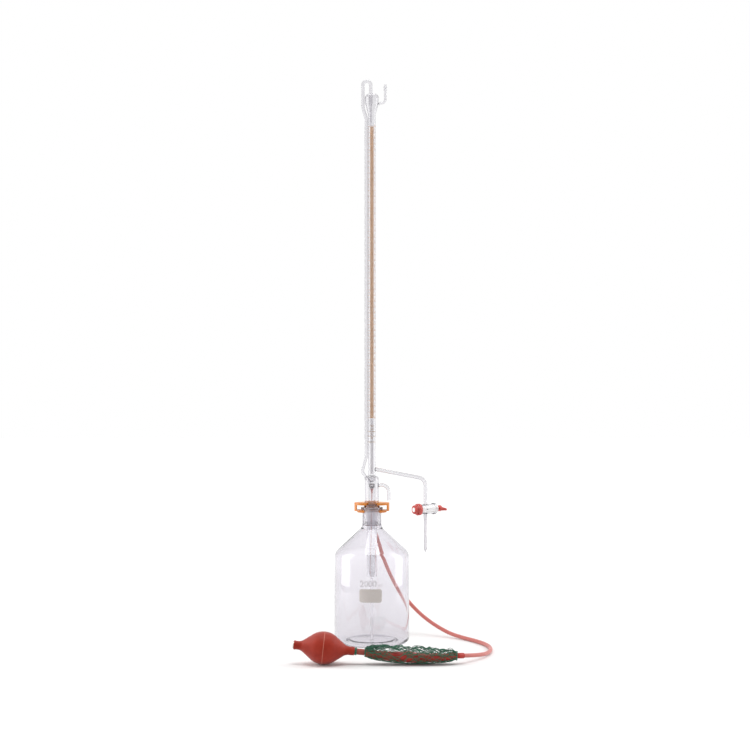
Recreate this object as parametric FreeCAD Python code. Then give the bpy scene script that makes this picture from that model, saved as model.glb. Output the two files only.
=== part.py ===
"""Automatic zero burette, 50 ml, on a two litre reservoir bottle, with its hand bellows.

Millimetres, +Z up. The origin is the centre of the bottle's foot on the bench.
The burette stands on the bottle's axis. The side arm and the stopcock are on +X,
and the bellows lies on the bench in front of the bottle, at -Y.
"""
import FreeCAD, Part
import math
import os

os.makedirs("parts", exist_ok=True)
V = FreeCAD.Vector
UP = V(0, 0, 1)

# Reservoir bottle
bottle_r = 68.0
bottle_wall = 2.6
bottle_floor = 4.0
heel_round = 10.0
punt_r = 43.0
punt_h = 3.0
foot_width = 8.0
punt_edge = 3.0
shoulder_z = 163.5
shoulder_round = 16.0
neck_z = 210.0
neck_r = 17.3
neck_round = 13.0
rim_z = 246.0
rim_flange_r = 20.0
rim_flange_h = 4.0
rim_chamfer = 1.5
throat_step = 1.0

# Standard ground joint 29/32: 29.2 mm across the wide end, 32 mm long, taper 1 in 10
joint_d = 29.2
joint_len = 32.0
joint_taper = 0.1
joint_fit = 0.05
cone_proud = 1.0
cone_shoulder = 2.5
cone_tail = 2.0

# Glass jacket that carries the burette on its cone
jacket_r = 13.0
jacket_wall = 1.8
jacket_h = 57.0
jacket_round = 6.0

# Measuring tube: the bore sets how far apart the millilitre marks are
capacity_ml = 50.0
bore_d = 10.95
tube_r = 6.95
tube_plunge = 11.5
scale_foot_len = 117.0

# Bulb over the zero mark
bulb_r = 12.75
bulb_wall = 1.5
bulb_neck_rise = 22.0
bulb_belly_rise = 43.0
bulb_top_rise = 60.0

# Feed tube beside the measuring tube, and the overflow jet that sets the zero
feed_r = 3.25
feed_bore_r = 1.6
feed_gap = 0.1
knee_x = 17.6
knee_above_jacket = 7.5
knee_rise = 27.5
knee_round = 8.0
loop_x = 2.0
loop_rise = 86.25
loop_start_rise = 15.0
loop_swing = 20.0
loop_gap = 0.3
feed_round = 14.0
feed_sink = 6.0
feed_foot_drop = 15.5
jet_r = 2.0
jet_tip_r = 1.2
jet_bore_r = 0.8
jet_tip_len = 9.0
jet_shoulder = 6.0

# Wide tube that hangs from the cone round the top of the dip tube
skirt_r = 9.4
skirt_wall = 1.2
skirt_len = 92.0

# Dip tube in the reservoir: thick walled at the top, thin below
dip_r = 5.8
dip_thin_r = 3.3
dip_bore_r = 1.5
dip_top_below_tube = 2.5
dip_step_z = 128.0
dip_foot_gap = 3.0
dip_taper_len = 8.0
dip_cap = 6.0

# Air vent on the bulb, with a ribbed end for a drying tube
vent_r = 2.35
vent_bore_r = 1.3
vent_x = 24.4
vent_root_rise = 41.0
vent_elbow_rise = 44.7
vent_end_rise = 76.7
vent_round = 6.0
vent_bead_r = 3.5
vent_beads = [(3.2, 3.6), (8.6, 2.6)]
branch_sink = 5.0

# Side arm from the foot of the measuring tube to the stopcock
arm_r = 3.65
arm_bore_r = 2.0
arm_root_rise = 24.7
arm_fall = 18.8
arm_round = 14.0
port_x = 97.6
key_drop = 74.0

# Stopcock: glass barrel, key, handle and nut on one axis, turned in plan
key_turn_deg = 32.0
barrel_front = 12.0
barrel_back = 20.5
barrel_r = 9.0
barrel_small_r = 8.3
port_over = 1.0
collar_r = 10.5
collar_len = 4.6
collar_step = 1.5
key_front_r = 6.0
key_taper = 0.1
key_fit = 0.05
key_bore_r = 1.2
spindle_r = 4.6
spindle_reach = 26.2
oring_section = 2.0
washer_t = 1.2
stack_gap = 0.05
nut_ring_r = 10.65
nut_ring_len = 6.4
nut_cap_r = 8.0
nut_wall = 2.6
nut_grips = 14
nut_grip_r = 1.1
nut_grip_lift = 0.5
nut_front_inset = 0.8
nut_shoulder = 1.0
head_r = 7.0
head_len = 4.0
stem_r = 3.6
stem_len = 8.0
hub_r = 5.6
hub_len = 9.5
hub_gap = 0.3
wing_reach = 24.0
wing_root_h = 8.4
wing_tip_h = 4.2
wing_root_t = 7.0
wing_tip_t = 3.4

# Delivery jet under the stopcock
tip_len = 69.5
tip_root_r = 3.6
tip_r = 2.5
tip_end_r = 1.1
tip_bore_r = 1.2
tip_end_bore_r = 0.45
tip_draw_len = 16.0
tip_neck_end = 12.0
tip_neck_start = 4.0
tip_bore_lead = 2.0

# Open tube on the jacket that a finger closes
release_r = 3.5
release_bore_r = 2.2
release_x = 30.8
release_root_below = 18.0
release_end_above_rim = 12.0
release_round = 13.0
release_climb = 3.0

# Hose nozzle at the back of the jacket, sloping down
nozzle_slope_deg = 30.0
nozzle_root_below = 13.0
nozzle_reach = 38.0
nozzle_r = 2.6
nozzle_root_r = 3.6
nozzle_bore_r = 1.3
nozzle_rib_r = 3.1
nozzle_rib_pitch = 4.0
nozzle_ribs = 3
nozzle_rib_gap = 0.4
nozzle_sink = 5.0
nozzle_neck = 5.0
nozzle_taper = 3.5
cuff_r = 4.4
cuff_start = 23.0
cuff_end = 42.0
cuff_gap = 0.05

# Snap clip over the ground joint
clip_half_x = 32.0
clip_lower_half_x = 27.0
clip_bow_lift = 2.6
clip_back_y = 24.0
clip_front_y = 15.0
clip_plate_t = 4.2
clip_above_rim = 8.0
clip_below_rim = 9.7
clip_gap = 0.3
clip_post_w = 5.0
clip_post_y = 9.0
clip_back_half = 13.0
clip_lip = 3.4

# Rubber hose, point by point from the cuff on the nozzle to the balloon
hose_r = 3.5
hose_first_run = 20.0
hose_route = [
    (2.0, 66.5, 240.0),
    (5.0, 73.0, 213.0),
    (10.5, 77.0, 181.0),
    (20.5, 80.0, 146.0),
    (36.0, 82.0, 110.0),
    (55.0, 82.0, 78.0),
    (76.0, 78.0, 52.0),
    (98.0, 69.0, 32.5),
    (122.0, 56.0, 17.5),
    (146.0, 41.0, 7.0),
    (168.0, 21.0, 3.7),
    (190.0, -10.0, 3.7),
    (207.0, -45.0, 3.7),
    (211.0, -84.0, 3.7),
    (201.0, -126.0, 4.8),
    (181.0, -163.0, 9.0),
    (154.6, -185.4, 13.1),
]
arc_share = 0.45

# Hand bulb, on the bench and tilted down towards the balloon
grip_x = -81.0
grip_y = -193.0
grip_r = 27.4
grip_bow_r = 34.0
grip_slope_deg = 36.5
grip_fillet_r = 14.0
grip_wall = 3.0
grip_tilt_deg = 6.0
grip_neck_r = 7.2
grip_lip_r = 7.8
grip_lip_len = 3.0
grip_spout_end = 50.2
grip_neck_end = 52.3
bench_gap = 0.05

# Valves of the bellows: a ball in a cage at each end of the hand bulb
ball_r = 2.3
ball_travel = 1.2
ball_side_gap = 0.35
seat_r = 1.5
valve_r = 4.6
valve_fit = 0.05
valve_wall = 1.4
valve_flange_r = 6.2
valve_flange_t = 1.6
valve_plug_len = 12.0
valve_reach = 20.0
seat_lead = 1.0
connector_r = 5.3
connector_len = 17.0
connector_spigot = 12.0
connector_spigot_r = 4.0
tie_len = 3.6
tie_t = 1.3
tie_inset = 0.4
tie_fit = 0.02

# Reservoir balloon in its net
balloon_r = 14.9
balloon_wall = 1.0
balloon_end_wall = 4.0
balloon_left_r = 8.0
balloon_right_r = 7.4
balloon_neck_r = 5.2
net_gap = 0.5
net_t = 0.6
net_end_inset = 2.0
hose_neck_len = 13.0
net_tie_len = 1.7
net_tie_seat = 0.45

# Heights that follow from the sizes above
jacket_top_z = rim_z + jacket_h
tube_end_z = jacket_top_z - tube_plunge
ml_pitch = 1000.0 / (math.pi * bore_d ** 2 / 4.0)
zero_z = tube_end_z + scale_foot_len + capacity_ml * ml_pitch
arm_root_z = tube_end_z + arm_root_rise
key_z = arm_root_z - key_drop
dip_top_z = tube_end_z - dip_top_below_tube


def corner(before, point, after, radius, shared):
    """Tangent arc that rounds a corner. A run with two rounded ends lends each of them half."""
    to_before = (before - point).normalize()
    to_after = (after - point).normalize()
    half = to_before.getAngle(to_after) / 2.0
    runs = (before.distanceToPoint(point), after.distanceToPoint(point))
    room = min(run * (0.49 if other > 0 else 0.98) for run, other in zip(runs, shared))
    reach = min(radius / math.tan(half), room)
    radius = reach * math.tan(half)
    inward = (to_before + to_after).normalize()
    middle = point + inward * (radius / math.sin(half) - radius)
    return point + to_before * reach, middle, point + to_after * reach


def chain(points, radii, closed=False):
    """Straight runs joined by tangent arcs at the corners that have a radius."""
    count = len(points)
    turns = []
    for i, point in enumerate(points):
        if radii[i] > 0 and (closed or 0 < i < count - 1):
            after = (i + 1) % count
            shared = (radii[i - 1], radii[after])
            turns.append(corner(points[i - 1], point, points[after], radii[i], shared))
        else:
            turns.append((point, None, point))
    edges = []
    for i, (_, middle, end) in enumerate(turns):
        if middle is not None:
            edges.append(Part.Arc(turns[i][0], middle, end).toShape())
        if closed or i + 1 < count:
            start = turns[(i + 1) % count][0]
            if end.distanceToPoint(start) > 1e-6:
                edges.append(Part.LineSegment(end, start).toShape())
    return Part.Wire(edges)


def lathe(points):
    """Solid turned about Z from a closed outline of (radius, height, corner radius)."""
    corners = [V(p[0], 0, p[1]) for p in points]
    radii = [p[2] if len(p) > 2 else 0 for p in points]
    face = Part.Face(chain(corners, radii, closed=True))
    return face.revolve(V(0, 0, 0), UP, 360)


def rod(points, radii, radius):
    """Round bar along a path with rounded corners."""
    path = chain(points, radii)
    ring = Part.Circle(points[0], points[1] - points[0], radius).toShape()
    return path.makePipeShell([Part.Wire(ring)], True, False)


def cylinder(radius, start, end):
    return Part.makeCylinder(radius, start.distanceToPoint(end), start, end - start)


def along(shape, origin, direction, up=None):
    """Place a shape made about Z: its Z turns to the direction, its Y towards up."""
    direction = V(direction).normalize()
    up = up or (UP if abs(direction.z) < 0.9 else V(0, 1, 0))
    side = up.cross(direction).normalize()
    turn = FreeCAD.Rotation(side, direction.cross(side), direction, "ZXY")
    placed = shape.copy()
    placed.Placement = FreeCAD.Placement(origin, turn).multiply(shape.Placement)
    return placed


def save(name, shape):
    shape.exportStep("parts/" + name + ".step")
    print(name, len(shape.Solids), "solid", round(shape.Volume / 1000.0, 2), "cm3", shape.isValid())


def socket_r(z):
    """Radius of the ground socket at a height."""
    return joint_d / 2.0 + (z - rim_z) * joint_taper / 2.0


def reservoir_bottle():
    """Blown bottle: pushed-up foot, straight wall, conical shoulder, ground neck."""
    lean = (bottle_r - neck_r) / (neck_z - shoulder_z)
    shift = bottle_wall * math.hypot(1.0, lean)
    socket_end_z = rim_z - joint_len
    throat_r = socket_r(socket_end_z) + throat_step
    inner_shoulder_z = shoulder_z - (shift - bottle_wall) / lean
    inner_neck_z = shoulder_z + (bottle_r - shift - throat_r) / lean
    inner_r = bottle_r - bottle_wall
    return lathe([
        (0, punt_h),
        (punt_r, punt_h, 3.0),
        (punt_r + punt_edge, 0, 2.0),
        (bottle_r, 0, heel_round),
        (bottle_r, shoulder_z, shoulder_round),
        (neck_r, neck_z, neck_round),
        (neck_r, rim_z - rim_flange_h - rim_chamfer, 1.5),
        (rim_flange_r, rim_z - rim_flange_h, 1.0),
        (rim_flange_r, rim_z, 1.2),
        (socket_r(rim_z), rim_z),
        (socket_r(socket_end_z), socket_end_z),
        (throat_r, socket_end_z - throat_step),
        (throat_r, inner_neck_z, neck_round),
        (inner_r, inner_shoulder_z, shoulder_round - bottle_wall),
        (inner_r, bottle_floor, heel_round - bottle_wall),
        (punt_r + foot_width, bottle_floor, 4.0),
        (punt_r - punt_edge, punt_h + bottle_floor, 4.0),
        (0, punt_h + bottle_floor),
    ])


def adapter_outline():
    """Outer line of the jacket from its sealed top down to the small end of the cone."""
    cone_top_z = rim_z + cone_proud
    cone_end_z = rim_z - joint_len - cone_tail
    return [
        (jacket_r, jacket_top_z, jacket_round),
        (jacket_r, cone_top_z + cone_shoulder, 3.0),
        (socket_r(cone_top_z) - joint_fit, cone_top_z, 1.0),
        (socket_r(cone_end_z) - joint_fit, cone_end_z, 1.0),
    ]


def adapter_body():
    """The jacket and cone as if filled, to end its branches on its surface."""
    outline = adapter_outline()
    return lathe([(0, jacket_top_z)] + outline + [(0, outline[-1][1])])


def joint_adapter():
    """Jacket sealed to the measuring tube, with holes for the feed, air and release tubes."""
    outline = adapter_outline()
    cone_end_z = outline[-1][1]
    inner_r = jacket_r - jacket_wall
    shell = lathe([(tube_r, jacket_top_z)] + outline + [
        (skirt_r - skirt_wall, cone_end_z, 0.5),
        (skirt_r - skirt_wall, cone_end_z + 3.0, 2.0),
        (inner_r, cone_end_z + 8.0, 4.0),
        (inner_r, jacket_top_z - jacket_wall, jacket_round - jacket_wall),
        (tube_r, jacket_top_z - jacket_wall),
    ])
    shell = shell.cut(feed_rod(feed_r))
    shell = shell.cut(release_rod(release_bore_r))
    root = nozzle_point(0)
    return shell.cut(cylinder(nozzle_bore_r, root, nozzle_point(cuff_start)))


def cone_skirt():
    """Open tube fused under the cone; air leaves it round the dip tube."""
    top_z = rim_z - joint_len - cone_tail
    return lathe([
        (skirt_r - skirt_wall, top_z - skirt_len, 0.3),
        (skirt_r, top_z - skirt_len, 0.3),
        (skirt_r, top_z),
        (skirt_r - skirt_wall, top_z),
    ])


def tube_outline():
    """Outer line of the measuring tube and its bulb, from the closed foot upwards."""
    return [
        (tube_r, tube_end_z, tube_r - 0.4),
        (tube_r, zero_z + bulb_neck_rise, 8.0),
        (bulb_r, zero_z + bulb_belly_rise, 8.0),
        (bulb_r, zero_z + bulb_top_rise, bulb_r - 3.0),
    ]


def tube_body():
    outline = tube_outline()
    return lathe([(0, tube_end_z)] + outline + [(0, zero_z + bulb_top_rise)])


def tube_bore():
    """Space inside the measuring tube and bulb."""
    bore_r = bore_d / 2.0
    foot_z = tube_end_z + tube_r - bore_r
    top_z = zero_z + bulb_top_rise - bulb_wall
    return lathe([
        (0, foot_z),
        (bore_r, foot_z, bore_r - 0.4),
        (bore_r, zero_z + bulb_neck_rise + 0.4, 8.0),
        (bulb_r - bulb_wall, zero_z + bulb_belly_rise + 0.4, 8.0),
        (bulb_r - bulb_wall, top_z, bulb_r - bulb_wall - 3.0),
        (0, top_z),
    ])


def burette_tube():
    tube = tube_body().cut(tube_bore())
    tube = tube.cut(arm_rod(arm_bore_r))
    tube = tube.cut(feed_rod(feed_bore_r))
    return tube.cut(vent_rod(vent_bore_r))


def feed_rod(radius):
    """Path of the feed tube: out of the jacket, knee, long riser, and the loop over the bulb."""
    riser_x = tube_r + feed_r + feed_gap
    knee_z = jacket_top_z + knee_above_jacket
    top_leg_x = bulb_r + feed_r + loop_gap
    crown_z = zero_z + loop_rise - feed_r
    bend_r = (top_leg_x - loop_x) / 2.0
    points = [
        V(0, 0, dip_top_z - feed_foot_drop),
        V(-knee_x, 0, knee_z),
        V(-riser_x, 0, knee_z + knee_rise),
        V(-riser_x, 0, zero_z + loop_start_rise),
        V(-top_leg_x, 0, zero_z + loop_start_rise + loop_swing),
        V(-top_leg_x, 0, crown_z),
        V(-loop_x, 0, crown_z),
        V(-loop_x, 0, zero_z + bulb_top_rise - feed_sink),
    ]
    bends = [0, knee_round, feed_round, feed_round, feed_round, bend_r, bend_r, 0]
    return rod(points, bends, radius)


def feed_tube():
    tube = feed_rod(feed_r).cut(feed_rod(feed_bore_r))
    tube = tube.cut(tube_body())
    return tube.cut(dip_body())


def overflow_jet():
    """Fine jet that hangs in the bulb: its open tip is the zero of the scale."""
    top_z = zero_z + bulb_top_rise
    waist_z = zero_z + bulb_belly_rise
    jet = lathe([
        (jet_bore_r, zero_z),
        (jet_tip_r, zero_z),
        (jet_r, zero_z + jet_tip_len, 12.0),
        (jet_r, waist_z - jet_shoulder, 8.0),
        (feed_r, waist_z, 8.0),
        (feed_r, top_z),
        (feed_bore_r, top_z),
        (feed_bore_r, waist_z, 6.0),
        (jet_bore_r, waist_z - jet_shoulder - jet_r, 6.0),
    ])
    jet.translate(V(-loop_x, 0, 0))
    return jet.common(tube_bore())


def dip_body():
    foot_z = punt_h + bottle_floor + dip_foot_gap
    return lathe([
        (0, foot_z),
        (dip_thin_r, foot_z, 0.6),
        (dip_thin_r, dip_step_z - dip_taper_len, 6.0),
        (dip_r, dip_step_z, 6.0),
        (dip_r, dip_top_z, dip_r - 1.0),
        (0, dip_top_z),
    ])


def dip_tube():
    """Tube to the floor of the bottle; its closed top takes the foot of the feed tube."""
    foot_z = punt_h + bottle_floor + dip_foot_gap
    tube = dip_body().cut(cylinder(dip_bore_r, V(0, 0, foot_z), V(0, 0, dip_top_z - dip_cap)))
    return tube.cut(feed_rod(feed_bore_r))


def vent_rod(radius):
    points = [
        V(bulb_r - branch_sink, 0, zero_z + vent_root_rise),
        V(vent_x, 0, zero_z + vent_elbow_rise),
        V(vent_x, 0, zero_z + vent_end_rise),
    ]
    return rod(points, [0, vent_round, 0], radius)


def vent_arm():
    """Vent with two beads under its open end."""
    tube = vent_rod(vent_r)
    end_z = zero_z + vent_end_rise
    for drop, height in vent_beads:
        bead = lathe([
            (0, end_z - drop - height),
            (vent_r, end_z - drop - height),
            (vent_bead_r, end_z - drop - height * 0.6, 0.6),
            (vent_r, end_z - drop),
            (0, end_z - drop),
        ])
        bead.translate(V(vent_x, 0, 0))
        tube = tube.fuse(bead)
    return tube.cut(vent_rod(vent_bore_r)).cut(tube_body())


def arm_rod(radius):
    points = [
        V(0, 0, arm_root_z),
        V(port_x, 0, arm_root_z - arm_fall),
        V(port_x, 0, key_z),
    ]
    return rod(points, [0, arm_round, 0], radius)


def side_arm():
    arm = arm_rod(arm_r).cut(arm_rod(arm_bore_r))
    return arm.cut(tube_body()).cut(barrel_body())


def key_direction():
    turn = math.radians(key_turn_deg)
    return V(math.cos(turn), math.sin(turn), 0)


def on_key_axis(shape):
    """From the stopcock's own frame: Z along the key to the handle, Y up, origin at the ports."""
    return along(shape, V(port_x, 0, key_z), key_direction())


def key_r(s):
    """Radius of the tapered key at a place along its axis."""
    return key_front_r + (s + barrel_front) * key_taper / 2.0


def barrel_outline():
    return [
        (barrel_small_r, -barrel_front, 0.8),
        (barrel_r, 0),
        (barrel_r, barrel_back - collar_len - collar_step, 1.0),
        (collar_r, barrel_back - collar_len, 1.0),
        (collar_r, barrel_back, 1.0),
    ]


def barrel_body():
    filled = [(0, -barrel_front)] + barrel_outline() + [(0, barrel_back)]
    return on_key_axis(lathe(filled))


def stopcock_barrel():
    """Glass barrel with a ground taper and a beaded collar, bored by the two ports."""
    shell = lathe(barrel_outline() + [
        (key_r(barrel_back) + key_fit, barrel_back),
        (key_r(-barrel_front) + key_fit, -barrel_front),
    ])
    port_up = cylinder(arm_bore_r, V(0, 0, 0), V(0, barrel_r + port_over, 0))
    port_down = cylinder(tip_bore_r, V(0, 0, 0), V(0, -barrel_r - port_over, 0))
    return on_key_axis(shell.cut(port_up).cut(port_down))


def stopcock_key():
    """Tapered key with a cross bore, a head and stem for the handle and a spindle for the nut."""
    head_end = barrel_back + head_len
    key = lathe([
        (0, -spindle_reach),
        (spindle_r, -spindle_reach, 0.6),
        (spindle_r, -barrel_front),
        (key_r(-barrel_front), -barrel_front),
        (key_r(barrel_back), barrel_back),
        (head_r, barrel_back + (key_r(barrel_back) - head_r), 0.3),
        (head_r, head_end, 0.8),
        (stem_r, head_end),
        (stem_r, head_end + stem_len, 0.5),
        (0, head_end + stem_len),
    ])
    bore = cylinder(key_bore_r, V(-barrel_r, 0, 0), V(barrel_r, 0, 0))
    return on_key_axis(key.cut(bore))


def handle_start():
    return barrel_back + head_len + hub_gap


def wing(sign):
    """One wing of the handle: a loft from its root in the hub to its rounded tip."""
    mid = handle_start() + hub_len / 2.0
    sections = []
    for share in (0.0, 0.5, 1.0):
        x = sign * (hub_r * 0.3 + share * (wing_reach - hub_r * 0.3))
        half_h = (wing_root_h + share * (wing_tip_h - wing_root_h)) / 2.0
        half_t = (wing_root_t + share * (wing_tip_t - wing_root_t)) / 2.0
        oval = Part.Ellipse(V(x, half_h, mid), V(x, 0, mid + half_t), V(x, 0, mid))
        sections.append(Part.Wire(oval.toShape()))
    return Part.makeLoft(sections, True, False)


def key_handle():
    """Winged handle pressed on the stem. The wings lie level: the stopcock is closed."""
    start = handle_start()
    socket_end = barrel_back + head_len + stem_len + stack_gap
    hub = lathe([
        (stem_r + stack_gap, start),
        (hub_r, start, 0.8),
        (hub_r, start + hub_len, 1.5),
        (0, start + hub_len),
        (0, socket_end),
        (stem_r + stack_gap, socket_end),
    ])
    core = cylinder(stem_r + 1.0, V(0, 0, start), V(0, 0, start + hub_len - 0.5))
    for sign in (-1, 1):
        hub = hub.fuse(wing(sign).cut(core))
    return on_key_axis(hub)


def key_oring():
    """Ring that seals the front end of the barrel."""
    centre = -barrel_front - stack_gap - oring_section / 2.0
    ring = Part.makeTorus(spindle_r + stack_gap + oring_section / 2.0 + 0.4, oring_section / 2.0)
    ring.translate(V(0, 0, centre))
    return on_key_axis(ring)


def washer_front():
    return -barrel_front - 2.0 * stack_gap - oring_section - washer_t


def key_washer():
    """Sliding washer between the ring and the nut."""
    front = washer_front()
    bore = spindle_r + stack_gap
    rim = nut_ring_r - nut_wall - stack_gap
    return on_key_axis(lathe([
        (bore, front),
        (rim, front, 0.3),
        (rim, front + washer_t, 0.3),
        (bore, front + washer_t),
    ]))


def retaining_nut():
    """Nut with a gripped ring over the washer and a smaller cap round the spindle."""
    seat = washer_front() - stack_gap
    back = -barrel_front - stack_gap * 4.0
    front = nut_front_inset - spindle_reach
    nut = lathe([
        (spindle_r + stack_gap, front),
        (nut_cap_r, front, 1.2),
        (nut_cap_r, back - nut_ring_len - nut_shoulder, 0.8),
        (nut_ring_r, back - nut_ring_len, 0.8),
        (nut_ring_r, back, 0.6),
        (nut_ring_r - nut_wall, back),
        (nut_ring_r - nut_wall, seat),
        (spindle_r + stack_gap, seat),
    ])
    for i in range(nut_grips):
        angle = 2.0 * math.pi * i / nut_grips
        spot = V(nut_ring_r + nut_grip_lift, 0, back - nut_ring_len)
        groove = cylinder(nut_grip_r, spot - UP * 2.0, spot + UP * 2.0 * nut_ring_len)
        groove.rotate(V(0, 0, 0), UP, math.degrees(angle))
        nut = nut.cut(groove)
    return on_key_axis(nut)


def delivery_tip():
    """Drawn-out jet from the lower port."""
    end_z = key_z - barrel_r - tip_len
    tip = lathe([
        (tip_end_bore_r, end_z),
        (tip_end_r, end_z, 0.3),
        (tip_r, end_z + tip_draw_len, tip_draw_len),
        (tip_r, key_z - barrel_r - tip_neck_end, 8.0),
        (tip_root_r, key_z - barrel_r - tip_neck_start, 6.0),
        (tip_root_r, key_z),
        (tip_bore_r, key_z),
        (tip_bore_r, end_z + tip_draw_len - tip_bore_lead, 12.0),
    ])
    tip.translate(V(port_x, 0, 0))
    return tip.cut(barrel_body())


def release_rod(radius):
    root_z = jacket_top_z - release_root_below
    points = [
        V(jacket_r - branch_sink, 0, root_z),
        V(release_x, 0, root_z + release_climb),
        V(release_x, 0, rim_z + release_end_above_rim),
    ]
    return rod(points, [0, release_round, 0], radius)


def release_tube():
    tube = release_rod(release_r).cut(release_rod(release_bore_r))
    return tube.cut(adapter_body())


def nozzle_direction():
    slope = math.radians(nozzle_slope_deg)
    return V(0, math.cos(slope), -math.sin(slope))


def nozzle_point(reach):
    """Point on the nozzle's axis, counted from the axis of the jacket."""
    return V(0, 0, jacket_top_z - nozzle_root_below) + nozzle_direction() * reach


def hose_nozzle():
    """Glass olive nozzle, ribbed where the hose grips it."""
    root = jacket_r - nozzle_sink
    neck_start = cuff_start - nozzle_neck
    outline = [
        (nozzle_bore_r, root),
        (nozzle_root_r, root),
        (nozzle_root_r, neck_start, 4.0),
        (nozzle_r, neck_start + nozzle_taper, 4.0),
    ]
    first = nozzle_reach - nozzle_ribs * nozzle_rib_pitch
    for i in range(nozzle_ribs):
        start = first + i * nozzle_rib_pitch
        outline += [(nozzle_rib_r, start), (nozzle_r, start + nozzle_rib_pitch - nozzle_rib_gap)]
    outline += [(nozzle_r, nozzle_reach), (nozzle_bore_r, nozzle_reach)]
    nozzle = along(lathe(outline), nozzle_point(0), nozzle_direction())
    return nozzle.cut(adapter_body())


def hose_cuff():
    """End of the hose stretched over the nozzle."""
    bore = nozzle_rib_r + cuff_gap
    cuff = lathe([
        (bore, cuff_start),
        (cuff_r, cuff_start, 0.5),
        (cuff_r, nozzle_reach, 4.0),
        (hose_r, cuff_end, 3.0),
        (0, cuff_end),
        (0, nozzle_reach + cuff_gap),
        (bore, nozzle_reach + cuff_gap),
    ])
    return along(cuff, nozzle_point(0), nozzle_direction())


def clip_oval(half_x, low_z, high_z):
    """Oval block that bounds one part of the clip."""
    centre_y = (clip_back_y - clip_front_y) / 2.0
    half_y = (clip_back_y + clip_front_y) / 2.0
    oval = Part.Ellipse(V(0, centre_y, low_z), half_x, half_y)
    return Part.Face(Part.Wire(oval.toShape())).extrude(V(0, 0, high_z - low_z))


def box_between(low, high):
    return Part.makeBox(high[0] - low[0], high[1] - low[1], high[2] - low[2], V(*low))


def clip_window(low_z, high_z):
    """Open space between the plates, which leaves two side posts and a back wall."""
    far = clip_half_x + clip_back_y
    centre_y = (clip_back_y - clip_front_y) / 2.0
    space = box_between((-far, -far, low_z), (far, far, high_z))
    inner_x = clip_half_x - clip_post_w
    for low_x, high_x in ((-far, -inner_x), (inner_x, far)):
        post = box_between((low_x, centre_y - clip_post_y, low_z),
                           (high_x, centre_y + clip_post_y, high_z))
        space = space.cut(post)
    wall = box_between((-clip_back_half, rim_flange_r + clip_gap, low_z),
                       (clip_back_half, far, high_z))
    return space.cut(wall)


def joint_clip():
    """Two spring plates joined by side bows and a back wall; the flange shows between them."""
    low_z = rim_z - clip_below_rim
    top_z = rim_z + clip_above_rim
    bow_z = low_z + clip_bow_lift
    clip = clip_oval(clip_half_x, low_z, top_z)
    rim = clip_oval(clip_half_x + 5.0, low_z - 1.0, bow_z)
    clip = clip.cut(rim.cut(clip_oval(clip_lower_half_x, low_z - 1.0, bow_z)))
    clip = clip.cut(clip_window(low_z + clip_plate_t, top_z - clip_plate_t))
    middle_z = rim_z
    for glass_r, start_z, end_z in ((neck_r, low_z - 1.0, middle_z), (jacket_r, middle_z, top_z + 1.0)):
        hole = cylinder(glass_r + clip_gap, V(0, 0, start_z), V(0, 0, end_z))
        mouth = box_between((clip_lip - glass_r, -clip_half_x, start_z),
                            (glass_r - clip_lip, 0, end_z))
        clip = clip.cut(hole).cut(mouth)
    return clip


def hose_points():
    """Corners of the hose's path: it leaves the cuff on the nozzle's axis."""
    return [nozzle_point(cuff_end), nozzle_point(cuff_end + hose_first_run)] + [V(*p) for p in hose_route]


def air_hose():
    """Hose along straight runs and tangent arcs, each arc as large as its runs allow."""
    points = hose_points()
    radii = [0.0]
    for i in range(1, len(points) - 1):
        before = points[i - 1] - points[i]
        after = points[i + 1] - points[i]
        turn = math.pi - before.getAngle(after)
        run = min(before.Length, after.Length)
        radii.append(arc_share * run / math.tan(turn / 2.0))
    radii.append(0.0)
    hose = rod(points, radii, hose_r)
    length = chain(points, radii).Length
    print("hose radii", [round(r) for r in radii[1:-1]])
    print("hose length", round(length, 1), "volume ratio",
          round(hose.Volume / (math.pi * hose_r ** 2 * length), 5))
    return hose


def grip_axis():
    tilt = math.radians(grip_tilt_deg)
    return V(math.cos(tilt), 0, -math.sin(tilt))


def grip_point(s):
    """Point on the hand bulb's axis, counted from its middle towards the balloon."""
    tilt = math.radians(grip_tilt_deg)
    lift = grip_bow_r - (grip_bow_r - grip_r) * math.cos(tilt)
    return V(grip_x, grip_y, lift + bench_gap) + grip_axis() * s


def on_grip_axis(shape, s=0.0):
    return along(shape, grip_point(s), grip_axis())


def belly(neck_r, wall):
    """Corners of a lemon-shaped belly: two slopes from the necks, joined by one large bow."""
    slope = math.radians(grip_slope_deg)
    bow_r = grip_bow_r - wall
    peak = grip_r - wall + bow_r * (1.0 / math.cos(slope) - 1.0)
    half_len = (peak - neck_r) / math.tan(slope)
    fillet = grip_fillet_r + wall
    return [(neck_r, -half_len, fillet), (peak, 0, bow_r), (neck_r, half_len, fillet)]


def hand_bulb():
    """Thick rubber bulb with a flared spout for the intake valve and a neck for the connector."""
    lip_end = grip_lip_len - grip_spout_end
    outer = lathe([
        (0, -grip_spout_end),
        (grip_lip_r, -grip_spout_end, 0.8),
        (grip_neck_r, lip_end, 3.0),
    ] + belly(grip_neck_r, 0.0) + [
        (grip_neck_r, grip_neck_end, 0.8),
        (0, grip_neck_end),
    ])
    hollow = lathe([
        (0, -grip_spout_end),
        (valve_r, -grip_spout_end),
    ] + belly(valve_r, grip_wall) + [
        (valve_r, grip_neck_end - connector_spigot),
        (0, grip_neck_end - connector_spigot),
    ])
    neck_bore = cylinder(connector_spigot_r, V(0, 0, 0), V(0, 0, grip_neck_end))
    return on_grip_axis(outer.cut(hollow).cut(neck_bore))


def ball_seat_gap():
    """How far the ball's middle stands from the plane of its seat when it is closed."""
    return math.sqrt(ball_r ** 2 - seat_r ** 2) + 0.05


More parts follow.
